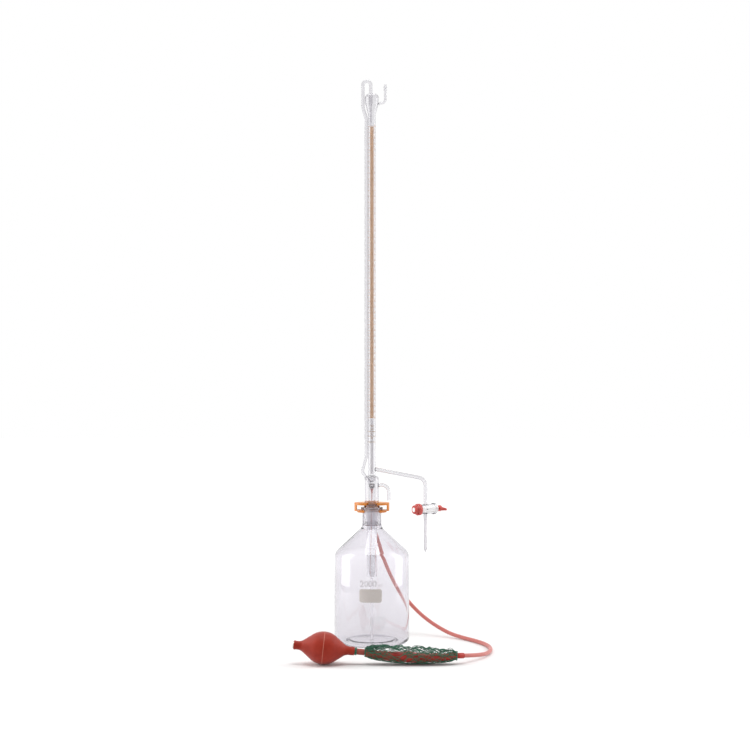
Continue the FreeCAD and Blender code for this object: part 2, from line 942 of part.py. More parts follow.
def valve_chamber(start):
    """Space of a ball valve: hole, seat, room for the ball's travel, and the way out."""
    length = ball_seat_gap() + ball_travel + ball_r + 0.1
    room = cylinder(ball_r + ball_side_gap, V(0, 0, start), V(0, 0, start + length))
    hole = cylinder(seat_r, V(0, 0, start - valve_reach), V(0, 0, start + length + valve_reach))
    return room.fuse(hole)


def intake_valve():
    """Valve plug in the spout, flanged outside, with its seat near the flange."""
    outer_r = valve_r - valve_fit
    start = -grip_spout_end - valve_flange_t
    plug = lathe([
        (0, start),
        (valve_flange_r, start, 0.5),
        (valve_flange_r, -grip_spout_end, 0.3),
        (outer_r, -grip_spout_end),
        (outer_r, valve_plug_len - grip_spout_end, 0.6),
        (0, valve_plug_len - grip_spout_end),
    ])
    return on_grip_axis(plug.cut(valve_chamber(intake_seat())))


def intake_seat():
    return valve_wall + seat_lead - grip_spout_end


def outlet_seat():
    return grip_neck_end + valve_wall + seat_lead


def valve_ball(seat):
    ball = Part.makeSphere(ball_r)
    ball.translate(V(0, 0, seat + ball_seat_gap()))
    return on_grip_axis(ball)


def bellows_connector():
    """Rigid tube between the two rubber necks, with the outlet valve in its middle."""
    spigot = connector_spigot_r - valve_fit
    end = grip_neck_end + connector_len
    body = lathe([
        (0, grip_neck_end - connector_spigot),
        (spigot, grip_neck_end - connector_spigot, 0.5),
        (spigot, grip_neck_end),
        (connector_r, grip_neck_end, 0.6),
        (connector_r, end, 0.6),
        (spigot, end),
        (spigot, end + connector_spigot, 0.5),
        (0, end + connector_spigot),
    ])
    chamber = valve_chamber(outlet_seat())
    bore = cylinder(seat_r, V(0, 0, grip_neck_end - connector_spigot - 1.0),
                    V(0, 0, end + connector_spigot + 1.0))
    return on_grip_axis(body.cut(chamber).cut(bore))


def tie_ring(inner_r, start, length):
    """Turns of thread wound round a neck."""
    return lathe([
        (inner_r, start),
        (inner_r + tie_t, start, 0.5),
        (inner_r + tie_t, start + length, 0.5),
        (inner_r, start + length),
    ])


def connector_tie():
    return on_grip_axis(tie_ring(connector_r + tie_fit, grip_neck_end + tie_inset, tie_len))


def neck_axis():
    """Direction in which the hose leaves the balloon."""
    points = hose_points()
    return (points[-2] - points[-1]).normalize()


def balloon_ends():
    """Left end at the connector, right end at the foot of the hose neck."""
    left = grip_point(grip_neck_end + connector_len)
    right = hose_points()[-1] - neck_axis() * hose_neck_len
    return left, right


def spindle(left_r, middle_r, right_r, low, high):
    """Long round body with a bowed side."""
    arc = Part.Arc(V(left_r, 0, low), V(middle_r, 0, (low + high) / 2.0), V(right_r, 0, high))
    corners = [V(right_r, 0, high), V(0, 0, high), V(0, 0, low), V(left_r, 0, low)]
    edges = [arc.toShape()]
    for start, end in zip(corners, corners[1:]):
        edges.append(Part.LineSegment(start, end).toShape())
    return Part.Face(Part.Wire(edges)).revolve(V(0, 0, 0), UP, 360)


def connector_room():
    """Space that the balloon leaves for the connector and its spigot."""
    end = grip_neck_end + connector_len
    mouth = cylinder(connector_spigot_r + valve_fit, grip_point(end), grip_point(end + connector_spigot + 1.0))
    return mouth.fuse(cylinder(2.0 * balloon_left_r, grip_point(grip_neck_end), grip_point(end + stack_gap)))


def balloon_bladder():
    """Rubber reservoir balloon: bowed body, left neck on the connector, right neck on the hose."""
    left, right = balloon_ends()
    length = left.distanceToPoint(right)
    body = spindle(balloon_left_r, balloon_r, balloon_right_r, 0.0, length)
    hollow = spindle(balloon_left_r - balloon_wall, balloon_r - balloon_wall,
                     balloon_right_r - balloon_wall, balloon_end_wall, length - balloon_end_wall)
    shell = along(body.cut(hollow), left, right - left).cut(connector_room())
    end = hose_points()[-1]
    neck = cylinder(balloon_neck_r, right, end)
    ball = Part.makeSphere(balloon_right_r, right)
    return shell.fuse(ball).fuse(neck)


def balloon_net():
    """Thin net sleeve round the balloon, a little clear of it."""
    left, right = balloon_ends()
    length = left.distanceToPoint(right)
    skins = []
    for lift in (net_gap, net_gap + net_t):
        skins.append(spindle(balloon_left_r + lift, balloon_r + lift, balloon_right_r + lift, 0.0, length))
    kept = cylinder(2.0 * balloon_r, V(0, 0, net_end_inset), V(0, 0, length - net_end_inset))
    return along(skins[1].cut(skins[0]).common(kept), left, right - left)


def net_tie(at_hose):
    """Thread that gathers one end of the net, round the end of the balloon."""
    left, right = balloon_ends()
    start = stack_gap
    seat_r = balloon_left_r + net_tie_seat
    if at_hose:
        start = left.distanceToPoint(right) - net_tie_len - stack_gap
        seat_r = balloon_right_r + net_tie_seat
    return along(tie_ring(seat_r, start, net_tie_len), left, right - left)


def main():
    save("reservoir_bottle", reservoir_bottle())
    save("joint_adapter", joint_adapter())
    save("cone_skirt", cone_skirt())
    save("burette_tube", burette_tube())
    save("feed_tube", feed_tube())
    save("overflow_jet", overflow_jet())
    save("dip_tube", dip_tube())
    save("vent_arm", vent_arm())
    save("side_arm", side_arm())
    save("stopcock_barrel", stopcock_barrel())
    save("stopcock_key", stopcock_key())
    save("key_handle", key_handle())
    save("key_oring", key_oring())
    save("key_washer", key_washer())
    save("retaining_nut", retaining_nut())
    save("delivery_tip", delivery_tip())
    save("release_tube", release_tube())
    save("hose_nozzle", hose_nozzle())
    save("hose_cuff", hose_cuff())
    save("joint_clip", joint_clip())
    save("air_hose", air_hose())
    save("hand_bulb", hand_bulb())
    save("intake_valve", intake_valve())
    save("intake_ball", valve_ball(intake_seat()))
    save("bellows_connector", bellows_connector())
    save("outlet_ball", valve_ball(outlet_seat()))
    save("connector_tie", connector_tie())
    save("balloon_bladder", balloon_bladder())
    save("balloon_net", balloon_net())
    save("net_tie_left", net_tie(False))
    save("net_tie_right", net_tie(True))


main()
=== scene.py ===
# %% [markdown]
# # An automatic zero burette, dressed for a product photograph
#
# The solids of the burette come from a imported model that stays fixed. This lesson gives each of
# them its real surface: blown and drawn glass, a ground joint, a white stopcock key, moulded
# plastic, red rubber and knotted green cord. Every length below is in millimetres until the
# moment it is handed to Blender, which works in metres.

# %% Load the fixed frame
import math
import random

import bmesh
import bpy
from mathutils import Matrix, Vector


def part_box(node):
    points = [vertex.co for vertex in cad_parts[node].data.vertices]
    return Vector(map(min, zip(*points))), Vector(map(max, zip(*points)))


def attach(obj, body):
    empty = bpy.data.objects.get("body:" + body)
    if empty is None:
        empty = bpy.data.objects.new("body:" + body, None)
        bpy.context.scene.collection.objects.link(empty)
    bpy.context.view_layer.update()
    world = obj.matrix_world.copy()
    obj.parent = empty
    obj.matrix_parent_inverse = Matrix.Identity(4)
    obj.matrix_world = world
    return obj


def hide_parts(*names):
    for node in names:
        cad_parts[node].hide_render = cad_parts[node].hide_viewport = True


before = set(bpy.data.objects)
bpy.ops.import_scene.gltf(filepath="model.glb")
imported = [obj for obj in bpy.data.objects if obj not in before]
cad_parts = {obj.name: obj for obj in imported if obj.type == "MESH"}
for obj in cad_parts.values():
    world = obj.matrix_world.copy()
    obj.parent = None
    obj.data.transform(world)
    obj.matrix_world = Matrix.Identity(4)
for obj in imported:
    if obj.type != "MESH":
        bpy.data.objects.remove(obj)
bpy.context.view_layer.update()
MM = 0.001
print("nodes in the frame:", len(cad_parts))

# %% [markdown]
# ## Camera
#
# The photograph was taken from far away with a level camera, so upright edges stay upright and
# circles close to eye height look like straight lines. A camera 2.5 m in front of the burette's
# axis, at half of its height, gives the same view. The lens follows from the width that the
# picture shows at the axis.

# %% Place the camera
VIEW_DISTANCE = 2500
VIEW_SIDE = 5.7
VIEW_HEIGHT = 486.7
VIEW_WIDTH = 1367.3
SENSOR_WIDTH = 36.0
TURN_TO_LEVEL = math.radians(90)

bpy.ops.object.select_all(action="DESELECT")
bpy.ops.object.camera_add(
    location=(VIEW_SIDE * MM, -VIEW_DISTANCE * MM, VIEW_HEIGHT * MM),
    rotation=(TURN_TO_LEVEL, 0, 0),
)
camera = bpy.context.object
camera.name = "photo_camera"
camera.data.sensor_width = SENSOR_WIDTH
camera.data.lens = SENSOR_WIDTH * VIEW_DISTANCE / VIEW_WIDTH
bpy.context.scene.camera = camera
bpy.context.scene.view_settings.view_transform = "Standard"
print("lens", round(camera.data.lens, 1), "mm")

# %% [markdown]
# ## Colours and nodes
#
# A colour given as hex digits is an sRGB value, while the shaders add light in linear values, so
# one function turns a hex colour into linear numbers. A second function adds any node with its
# settings and its links, and every material below is built from those two.

# %% Colour and node helpers


def linear(hex_colour):
    """Linear RGBA of an sRGB colour written as six hex digits."""
    parts = [int(hex_colour[i:i + 2], 16) / 255 for i in (0, 2, 4)]
    values = [c / 12.92 if c <= 0.04045 else ((c + 0.055) / 1.055) ** 2.4 for c in parts]
    return (*values, 1.0)


def add_node(tree, kind, links=None, **settings):
    """Add a node, set its properties or inputs by name, and link its inputs to other outputs."""
    node = tree.nodes.new(kind)
    for name, value in settings.items():
        if hasattr(node, name):
            setattr(node, name, value)
        else:
            node.inputs[name.replace("_", " ")].default_value = value
    for name, output in (links or {}).items():
        tree.links.new(output, node.inputs[name])
    return node


def new_material(name, base, roughness, **settings):
    """A material with one Principled shader; returns it with its tree and its shader."""
    material = bpy.data.materials.new(name)
    material.use_nodes = True
    tree = material.node_tree
    shader = tree.nodes["Principled BSDF"]
    shader.inputs["Base Color"].default_value = linear(base)
    shader.inputs["Roughness"].default_value = roughness
    material.diffuse_color = linear(base)
    for socket, value in settings.items():
        shader.inputs[socket.replace("_", " ")].default_value = value
    return material, tree, shader


def bump_from(tree, shader, height, strength, depth_mm):
    """Let a pattern's height tilt the surface, at a real depth in millimetres."""
    bump = add_node(tree, "ShaderNodeBump", {"Height": height},
                    Strength=strength, Distance=depth_mm * MM)
    tree.links.new(bump.outputs["Normal"], shader.inputs["Normal"])


def noise_at(tree, size_mm, **settings):
    """Noise whose lumps are about size_mm wide on the object."""
    place = add_node(tree, "ShaderNodeTexCoord")
    return add_node(tree, "ShaderNodeTexNoise", {"Vector": place.outputs["Object"]},
                    Scale=1.0 / (size_mm * MM), **settings)


def mix_colours(tree, factor, low, high):
    """Colour that runs from one hex colour to another as the factor goes from 0 to 1."""
    ramp = add_node(tree, "ShaderNodeValToRGB", {"Fac": factor})
    ramp.color_ramp.elements[0].color = linear(low)
    ramp.color_ramp.elements[1].color = linear(high)
    return ramp.outputs["Color"]


def two_shades(tree, shader, size_mm, dark, light, **settings):
    """Base colour in soft lumps that run between two near shades."""
    lumps = noise_at(tree, size_mm, **settings)
    colour = mix_colours(tree, lumps.outputs["Fac"], dark, light)
    tree.links.new(colour, shader.inputs["Base Color"])


def fine_relief(tree, shader, size_mm, detail, strength, depth_mm):
    """Surface that is a little uneven, in lumps of a real size and depth."""
    lumps = noise_at(tree, size_mm, Detail=detail)
    bump_from(tree, shader, lumps.outputs["Fac"], strength, depth_mm)


def combine(tree, operation, first, second):
    """Math node on two values, each of them a node's output or a plain number."""
    node = add_node(tree, "ShaderNodeMath", operation=operation)
    for socket, value in zip(node.inputs, (first, second)):
        if isinstance(value, bpy.types.NodeSocket):
            tree.links.new(value, socket)
        else:
            socket.default_value = value
    return node.outputs["Value"]


print("white is", [round(c, 2) for c in linear("FFFFFF")])

# %% [markdown]
# ## Bench and background
#
# The photograph has a pure white background that runs into the bench without an edge. The bench
# is a large pale sheet that catches soft shadows. Away from the object it gets less of the
# lamps' light, so a light of its own, seen only by the camera and by glass and gloss, grows with
# the distance and keeps it white up to the horizon. The world is plain white for those same rays
# and dimmer for the rays that light the object.

# %% Bench sheet and white world
BENCH_SIZE = 16000
bpy.ops.object.select_all(action="DESELECT")
bpy.ops.mesh.primitive_plane_add(size=BENCH_SIZE * MM)
bench = bpy.context.object
bench.name = "bench_sheet"


def seen_rays(tree):
    """1 for rays that show the surface itself, to the camera, in gloss or through glass."""
    path = add_node(tree, "ShaderNodeLightPath")
    seen = path.outputs["Is Camera Ray"]
    for name in ("Is Glossy Ray", "Is Transmission Ray"):
        seen = combine(tree, "MAXIMUM", seen, path.outputs[name])
    return seen


sheet_paint, tree, shader = new_material("matt_white_sheet", "EFEFEF", 0.9)
place = add_node(tree, "ShaderNodeTexCoord")
distance = add_node(tree, "ShaderNodeVectorMath", {0: place.outputs["Object"]}, operation="LENGTH")
ramp = add_node(tree, "ShaderNodeMapRange", {"Value": distance.outputs["Value"]},
                From_Min=0.2, From_Max=1.3, To_Min=0.0, To_Max=0.68)
lift = combine(tree, "MULTIPLY", seen_rays(tree), ramp.outputs["Result"])
shader.inputs["Emission Color"].default_value = linear("FFFFFF")
tree.links.new(lift, shader.inputs["Emission Strength"])
bench.data.materials.append(sheet_paint)

WORLD_FILL = 0.42
world = bpy.data.worlds.new("white_studio")
bpy.context.scene.world = world
world.use_nodes = True
tree = world.node_tree
background = tree.nodes["Background"]
background.inputs["Color"].default_value = linear("FFFFFF")
strength = add_node(tree, "ShaderNodeMapRange", {"Value": seen_rays(tree)},
                    To_Min=WORLD_FILL, To_Max=1.0)
tree.links.new(strength.outputs["Result"], background.inputs["Strength"])
print("bench", BENCH_SIZE / 1000, "m wide")

# %% [markdown]
# ## Lamps
#
# Two tall softboxes stand left and right of the object, on the bench and just outside the
# picture. The round bottle and the bulb mirror each of them as an upright bright patch near
# their sides. A wide softbox overhead draws the soft shadows under the bulb and the hose.

# %% Three softboxes


def softbox(name, place, aim, width, height, radiance):
    """Rectangular area lamp at a place in millimetres, turned to a point, of a given brightness."""
    bpy.ops.object.select_all(action="DESELECT")
    bpy.ops.object.light_add(type="AREA", location=[c * MM for c in place])
    lamp = bpy.context.object
    lamp.name = name
    lamp.data.shape = "RECTANGLE"
    lamp.data.size = width * MM
    lamp.data.size_y = height * MM
    lamp.data.energy = radiance * math.pi * width * height * MM * MM
    lamp.rotation_euler = (Vector(aim) - Vector(place)).to_track_quat("-Z", "Y").to_euler()
    lamp.visible_camera = False
    lamp.visible_transmission = False
    print(name, round(lamp.data.energy, 2), "W")


softbox("softbox_left", (-760, -70, 620), (0, -70, 620), 500, 1200, 3.4)
softbox("softbox_right", (760, -10, 620), (0, -10, 620), 420, 1200, 3.4)
softbox("softbox_top", (0, -250, 1900), (0, -100, 0), 900, 900, 5.4)

# %% [markdown]
# ## Three ways to make glass
#
# Scientific glass is made by turning, drawing and bending. The helpers below follow that. A line
# of edges is drawn by extruding one vertex from corner to corner, and each corner is rounded
# with a vertex bevel. Spun round an axis, the line is a turned or blown piece. Given a round
# section, it is a bent tube, and a Solidify modifier gives the tube its wall.

# %% Draw, turn and bend
SEAM_REACH = 0.002
SAME_PLACE = 1e-5
UPRIGHT = (0, 0, 1)


def name_piece(piece, name):
    """Name a piece and its mesh."""
    piece.name = name
    piece.data.name = name


def start_from(primitive, name, **sizes):
    """Add one of Blender's plain meshes, alone in the selection, and name it."""
    bpy.ops.object.select_all(action="DESELECT")
    primitive(**sizes)
    piece = bpy.context.object
    name_piece(piece, name)
    return piece


def choose(piece, *others):
    """Select a piece, and others with it, and nothing else; the piece is the active one."""
    bpy.ops.object.select_all(action="DESELECT")
    for chosen in (*others, piece):
        chosen.select_set(True)
    bpy.context.view_layer.objects.active = piece


def join(piece, others):
    """Make several meshes one piece."""
    choose(piece, *others)
    bpy.ops.object.join()
    return piece


def copies_of(first, count):
    """Copies of a piece, each with its own mesh."""
    made = [first]
    for _ in range(count - 1):
        twin = first.copy()
        twin.data = first.data.copy()
        bpy.context.scene.collection.objects.link(twin)
        made.append(twin)
    return made


def edit_all():
    """Open the active piece's mesh with all of it selected."""
    bpy.ops.object.mode_set(mode="EDIT")
    bpy.ops.mesh.select_all(action="SELECT")


def end_edit():
    """Close the mesh again."""
    bpy.ops.object.mode_set(mode="OBJECT")


def smooth_all(piece):
    """Shade every face of a soft piece smooth."""
    for face in piece.data.polygons:
        face.use_smooth = True


def select_near(mesh_object, place):
    """Select the vertices at one place, in edit mode."""
    mesh = bmesh.from_edit_mesh(mesh_object.data)
    for vertex in mesh.verts:
        vertex.select = (vertex.co - place).length < SAME_PLACE
    mesh.select_flush_mode()
    bmesh.update_edit_mesh(mesh_object.data)


def round_corner(line, before, corner, after, radius, share):
    """Bevel one vertex of a line to an arc, held to its share of the two runs."""
    half = (before - corner).angle(after - corner) / 2
    if radius <= 0 or half > math.radians(89.5):
        return
    reach = radius * MM / math.tan(half)
    reach = min(reach, share[0] * (before - corner).length, share[1] * (after - corner).length)
    steps = max(2, round((math.pi - 2 * half) / math.radians(9)))
    select_near(line, corner)
    bpy.ops.mesh.bevel(offset=reach, segments=steps, affect="VERTICES", clamp_overlap=False)


def draw_line(name, corners, closed=False):
    """Edges through corners (x, y, z, rounding), drawn by extrusion and rounded by bevels."""
    line = start_from(bpy.ops.mesh.primitive_plane_add, name, size=MM)
    places = [Vector(corner[:3]) * MM for corner in corners]
    bpy.ops.object.mode_set(mode="EDIT")
    bpy.ops.mesh.merge(type="CENTER")
    bpy.ops.transform.translate(value=places[0])
    for start, end in zip(places, places[1:]):
        bpy.ops.mesh.extrude_vertices_move(TRANSFORM_OT_translate={"value": end - start})
    if closed:
        mesh = bmesh.from_edit_mesh(line.data)
        for vertex in mesh.verts:
            at_ends = min((vertex.co - places[0]).length, (vertex.co - places[-1]).length)
            vertex.select = at_ends < SAME_PLACE
        bmesh.update_edit_mesh(line.data)
        bpy.ops.mesh.edge_face_add()
    count = len(places)
    for i in range(0 if closed else 1, count if closed else count - 1):
        nexts = (i - 1, (i + 1) % count)
        share = [0.49 if corners[n][3] > 0 else 0.98 for n in nexts]
        round_corner(line, places[i - 1], places[i], places[nexts[1]], corners[i][3], share)
    bpy.ops.mesh.select_all(action="SELECT")
    end_edit()
    return line


def finish_mesh(piece, sharp_deg=35):
    """Merge seams, point the faces outwards and smooth all but the sharp edges."""
    edit_all()
    bpy.ops.mesh.remove_doubles(threshold=SEAM_REACH * MM)
    bpy.ops.mesh.normals_make_consistent(inside=False)
    end_edit()
    bpy.ops.object.shade_smooth_by_angle(angle=math.radians(sharp_deg))
    return piece


def turned(name, profile, steps=64):
    """Piece turned about Z from a profile of (radius, height, rounding)."""
    corners = [(p[0], 0, p[1], p[2] if len(p) > 2 else 0) for p in profile]
    piece = draw_line(name, corners, closed=profile[0][0] > 0)
    edit_all()
    bpy.ops.mesh.spin(steps=steps, angle=2 * math.pi, center=(0, 0, 0), axis=UPRIGHT)
    return finish_mesh(piece)


def bent_tube(name, corners, radius, bore=0.0, sides=8):
    """Round tube or rod along a line of corners (x, y, z, rounding)."""
    piece = draw_line(name, corners)
    bpy.ops.object.convert(target="CURVE")
    piece.data.bevel_depth = radius * MM
    piece.data.bevel_resolution = sides
    piece.data.use_fill_caps = bore == 0
    bpy.ops.object.convert(target="MESH")
    piece = bpy.context.object
    if bore:
        wall = piece.modifiers.new("wall", "SOLIDIFY")
        wall.thickness = (radius - bore) * MM
        wall.offset = -1
        bpy.ops.object.modifier_apply(modifier=wall.name)
    return finish_mesh(piece)


def seat(piece, origin, direction, up=UPRIGHT):
    """Move a piece made about Z so that its Z points along a direction from an origin."""
    axis = Vector(direction).normalized()
    side = Vector(up).cross(axis).normalized()
    turn = Matrix((side, axis.cross(side), axis)).transposed().to_4x4()
    piece.matrix_world = Matrix.Translation(Vector(origin) * MM) @ turn
    bpy.ops.object.transform_apply(location=True, rotation=True, scale=True)
    return piece


def stand_at(piece, x):
    """Move a piece made about Z to an upright axis beside the burette's own."""
    return seat(piece, (x, 0, 0), UPRIGHT, up=(0, 1, 0))


def dress(piece, material, body, *nodes, slot=None):
    """Give a piece its material and its body, and let it stand for its nodes."""
    piece.data.materials.clear()
    piece.data.materials.append(material)
    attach(piece, body)
    if nodes:
        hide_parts(*nodes)
    if material.name.startswith(("borosilicate", "soda_lime")):
        let_light_through(piece)
    print(piece.name, len(piece.data.polygons), "faces,", material.name)
    return piece


def dress_glass(piece, finish, node):
    """Give a glass piece of the burette its finish, and let it stand for its node."""
    dress(piece, finish, "burette", node, slot="clear_glass")


def top_of(node):
    """Highest corner of a node of the frame, in millimetres."""
    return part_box(node)[1] / MM


# %% [markdown]
# ## Glass
#
# The burette is borosilicate glass 3.3: IOR 1.473, no colour in thin walls, and a flame-polished
# surface with faint waves from drawing. The blown bottle is soda-lime glass, IOR 1.52, thicker
# and a little grey and violet where the eye looks through four walls. Thick glass swallows a
# little of the light that runs along a wall, which draws every tube's edges in soft grey, so the
# glass also has an absorbing inside. Real glass lets light through to what stands behind it;
# here the clear pieces cast no shadow, which gives the same and keeps the picture clean.

# %% Glass materials
BORO_IOR = 1.473
SODA_IOR = 1.52


def glass(name, tint, ior, wave_mm, wave_depth, inside, density):
    """Clear glass: slow waves left by drawing or blowing, and an inside that absorbs a little."""
    material, tree, shader = new_material(name, tint, 0.0, Transmission_Weight=1.0, IOR=ior)
    fine_relief(tree, shader, wave_mm, 1.0, 0.5, wave_depth)
    body = add_node(tree, "ShaderNodeVolumeAbsorption", Color=linear(inside), Density=density)
    tree.links.new(body.outputs["Volume"], tree.nodes["Material Output"].inputs["Volume"])
    return material


def let_light_through(piece):
    """Clear glass keeps no lamp's light from what stands behind it."""
    piece.visible_shadow = False
    piece.visible_diffuse = False


tube_glass = glass("borosilicate_drawn_tube", "FAFAFB", BORO_IOR, 40, 0.03, "A8A0AA", 95)
thin_glass = glass("borosilicate_thin_jet", "FAFAFB", BORO_IOR, 20, 0.01, "A8A0AA", 150)
dip_glass = glass("borosilicate_clear_capillary", "FAFAFB", BORO_IOR, 40, 0.02, "A8A0AA", 10)
bottle_glass = glass("soda_lime_blown_bottle", "FAF9FB", SODA_IOR, 60, 0.25, "A39AAE", 56)
print("glass finishes", [m.name for m in (tube_glass, thin_glass, dip_glass, bottle_glass)])

# %% [markdown]
# ## Reservoir bottle
#
# A two litre bottle is blown in a mould: a pushed-up foot, a straight wall, a conical shoulder
# and a neck whose inside is ground to a 29/32 socket. Turning its whole wall section, outside
# and inside, gives a real wall thickness, and that is what bends the hose behind it.

# %% Blow the bottle
BOTTLE_R = round(top_of("reservoir_bottle").x, 2)
RIM_Z = round(top_of("reservoir_bottle").z, 2)
WALL = 2.6
FLOOR = 4.0
PUNT_R = 43.0
PUNT_H = 3.0
SHOULDER_Z = 163.5
NECK_Z = 210.0
NECK_R = 17.3
FLANGE_R = 20.0
FLANGE_H = 4.0
JOINT_D = 29.2
JOINT_LEN = 32.0
TAPER = 0.1
HEEL = 10.0
SHOULDER = 16.0
NECK_ROUND = 13.0


def socket_r(z):
    """Radius of the ground socket at a height."""
    return JOINT_D / 2 + (z - RIM_Z) * TAPER / 2


def inner_cone():
    """Heights where the inside wall of the cone meets the side and the throat."""
    lean = (BOTTLE_R - NECK_R) / (NECK_Z - SHOULDER_Z)
    shift = WALL * math.hypot(1, lean)
    throat = socket_r(RIM_Z - JOINT_LEN) + 1
    low_z = SHOULDER_Z - (shift - WALL) / lean
    high_z = SHOULDER_Z + (BOTTLE_R - shift - throat) / lean
    return throat, low_z, high_z


throat_r, inner_low, inner_high = inner_cone()
socket_end = RIM_Z - JOINT_LEN
bottle = turned("bottle", [
    (0, PUNT_H),
    (PUNT_R, PUNT_H, 3),
    (PUNT_R + 3, 0, 2),
    (BOTTLE_R, 0, HEEL),
    (BOTTLE_R, SHOULDER_Z, SHOULDER),
    (NECK_R, NECK_Z, NECK_ROUND),
    (NECK_R, RIM_Z - FLANGE_H - 1.5, 1.5),
    (FLANGE_R, RIM_Z - FLANGE_H, 1),
    (FLANGE_R, RIM_Z, 1.2),
    (socket_r(RIM_Z), RIM_Z),
    (socket_r(socket_end), socket_end),
    (throat_r, socket_end - 1),
    (throat_r, inner_high, NECK_ROUND),
    (BOTTLE_R - WALL, inner_low, SHOULDER - WALL),
    (BOTTLE_R - WALL, FLOOR, HEEL - WALL),
    (PUNT_R + 8, FLOOR, 4),
    (PUNT_R - 3, PUNT_H + FLOOR, 4),
    (0, PUNT_H + FLOOR),
], steps=128)
dress(bottle, bottle_glass, "bottle", "reservoir_bottle", slot="clear_glass")

# %% [markdown]
# ## Ground socket
#
# Only the inside of the neck is ground, over the length of the joint. The bottle's own finish
# turns rough there: grit scatters the light that passes, so the neck looks like frost.

# %% Frost the socket
GROUND_ROUGHNESS = 0.35


def grind_inside(material, reach, low, high):
    """Roughen a glass inside a radius and between two heights, all in millimetres."""
    tree = material.node_tree
    place = add_node(tree, "ShaderNodeTexCoord")
    parts = add_node(tree, "ShaderNodeSeparateXYZ", {"Vector": place.outputs["Object"]})
    flat = add_node(tree, "ShaderNodeCombineXYZ", {axis: parts.outputs[axis] for axis in "XY"})
    radius = add_node(tree, "ShaderNodeVectorMath", {0: flat.outputs["Vector"]}, operation="LENGTH")
    rough = combine(tree, "LESS_THAN", radius.outputs["Value"], reach * MM)
    for operation, height in (("GREATER_THAN", low), ("LESS_THAN", high)):
        beyond = combine(tree, operation, parts.outputs["Z"], height * MM)
        rough = combine(tree, "MULTIPLY", rough, beyond)
    rough = combine(tree, "MULTIPLY", rough, GROUND_ROUGHNESS)
    tree.links.new(rough, tree.nodes["Principled BSDF"].inputs["Roughness"])


grind_inside(bottle_glass, (NECK_R + socket_r(RIM_Z)) / 2, socket_end, RIM_Z - 0.5)

# %% [markdown]
# ## Jacket and cone
#
# The burette stands in the bottle on a ground cone. Above the cone a jacket as wide as the cone
# is sealed to the measuring tube, and a wide open tube hangs under the cone round the dip tube.

# %% Turn the jacket, the cone and the skirt
JACKET_R = 13.0
JACKET_WALL = 1.8
JACKET_TOP = top_of("joint_adapter").z
CONE_PROUD = 1.0
CONE_SHOULDER = 2.5
CONE_TAIL = 2.0
JOINT_FIT = 0.05
TUBE_R = 6.95
SKIRT_R = 9.4
SKIRT_WALL = 1.2
SKIRT_LEN = 92.0

cone_top = RIM_Z + CONE_PROUD
cone_end = RIM_Z - JOINT_LEN - CONE_TAIL
jacket = turned("jacket_and_cone", [
    (TUBE_R + JOINT_FIT, JACKET_TOP),
    (JACKET_R, JACKET_TOP, 6),
    (JACKET_R, cone_top + CONE_SHOULDER, 3),
    (socket_r(cone_top) - JOINT_FIT, cone_top, 1),
    (socket_r(cone_end) - JOINT_FIT, cone_end, 1),
    (SKIRT_R - SKIRT_WALL, cone_end, 0.5),
    (SKIRT_R - SKIRT_WALL, cone_end + 3, 2),
    (JACKET_R - JACKET_WALL, cone_end + 8, 4),
    (JACKET_R - JACKET_WALL, JACKET_TOP - JACKET_WALL, 4.2),
    (TUBE_R + JOINT_FIT, JACKET_TOP - JACKET_WALL),
], steps=96)
dress_glass(jacket, tube_glass, "joint_adapter")

skirt = turned("cone_skirt_tube", [
    (SKIRT_R - SKIRT_WALL, cone_end - SKIRT_LEN, 0.3),
    (SKIRT_R, cone_end - SKIRT_LEN, 0.3),
    (SKIRT_R, cone_end - 0.02),
    (SKIRT_R - SKIRT_WALL, cone_end - 0.02),
])
dress_glass(skirt, dip_glass, "cone_skirt")

# %% [markdown]
# ## Measuring tube
#
# Fifty millilitres in a bore of 10.95 mm make the scale 531 mm long. The tube is closed with a
# round end inside the jacket and opens into a small bulb above the zero.

# %% Draw the measuring tube and its bulb
CAPACITY = 50
BORE_D = 10.95
TUBE_END = JACKET_TOP - 11.5
BELOW_SCALE = 117
ML_PITCH = 1000 / (math.pi * BORE_D ** 2 / 4)
ZERO_Z = TUBE_END + BELOW_SCALE + CAPACITY * ML_PITCH
BULB_R = 12.75
BULB_WALL = 1.5
NECK_RISE = 22.0
BELLY_RISE = 43.0
TOP_RISE = 60.0

bore_r = BORE_D / 2
bulb_top = ZERO_Z + TOP_RISE
measuring_tube = turned("measuring_tube", [
    (0, TUBE_END),
    (TUBE_R, TUBE_END, TUBE_R - 0.4),
    (TUBE_R, ZERO_Z + NECK_RISE, 8),
    (BULB_R, ZERO_Z + BELLY_RISE, 8),
    (BULB_R, bulb_top, BULB_R - 3),
    (0, bulb_top),
], steps=64)
bore = turned("measuring_bore", [
    (0, TUBE_END + TUBE_R - bore_r),
    (bore_r, TUBE_END + TUBE_R - bore_r, bore_r - 0.4),
    (bore_r, ZERO_Z + NECK_RISE + 0.4, 8),
    (BULB_R - BULB_WALL, ZERO_Z + BELLY_RISE + 0.4, 8),
    (BULB_R - BULB_WALL, bulb_top - BULB_WALL, BULB_R - BULB_WALL - 3),
    (0, bulb_top - BULB_WALL),
], steps=64)


def hollow_out(piece, hollow):
    """Join a closed inner surface, turned inside out, to a closed outer one: a vessel's wall."""
    choose(hollow)
    edit_all()
    bpy.ops.mesh.flip_normals()
    end_edit()
    join(piece, [hollow])


hollow_out(measuring_tube, bore)
dress_glass(measuring_tube, tube_glass, "burette_tube")
print("scale from", round(ZERO_Z - CAPACITY * ML_PITCH, 1), "to", round(ZERO_Z, 1), "mm")

# %% [markdown]
# ## Bent tubes
#
# The feed tube climbs beside the measuring tube, arches over the bulb and ends in a fine jet
# whose tip is the zero of the scale. The vent, the side arm and the release tube are shorter
# bends of the same kind.

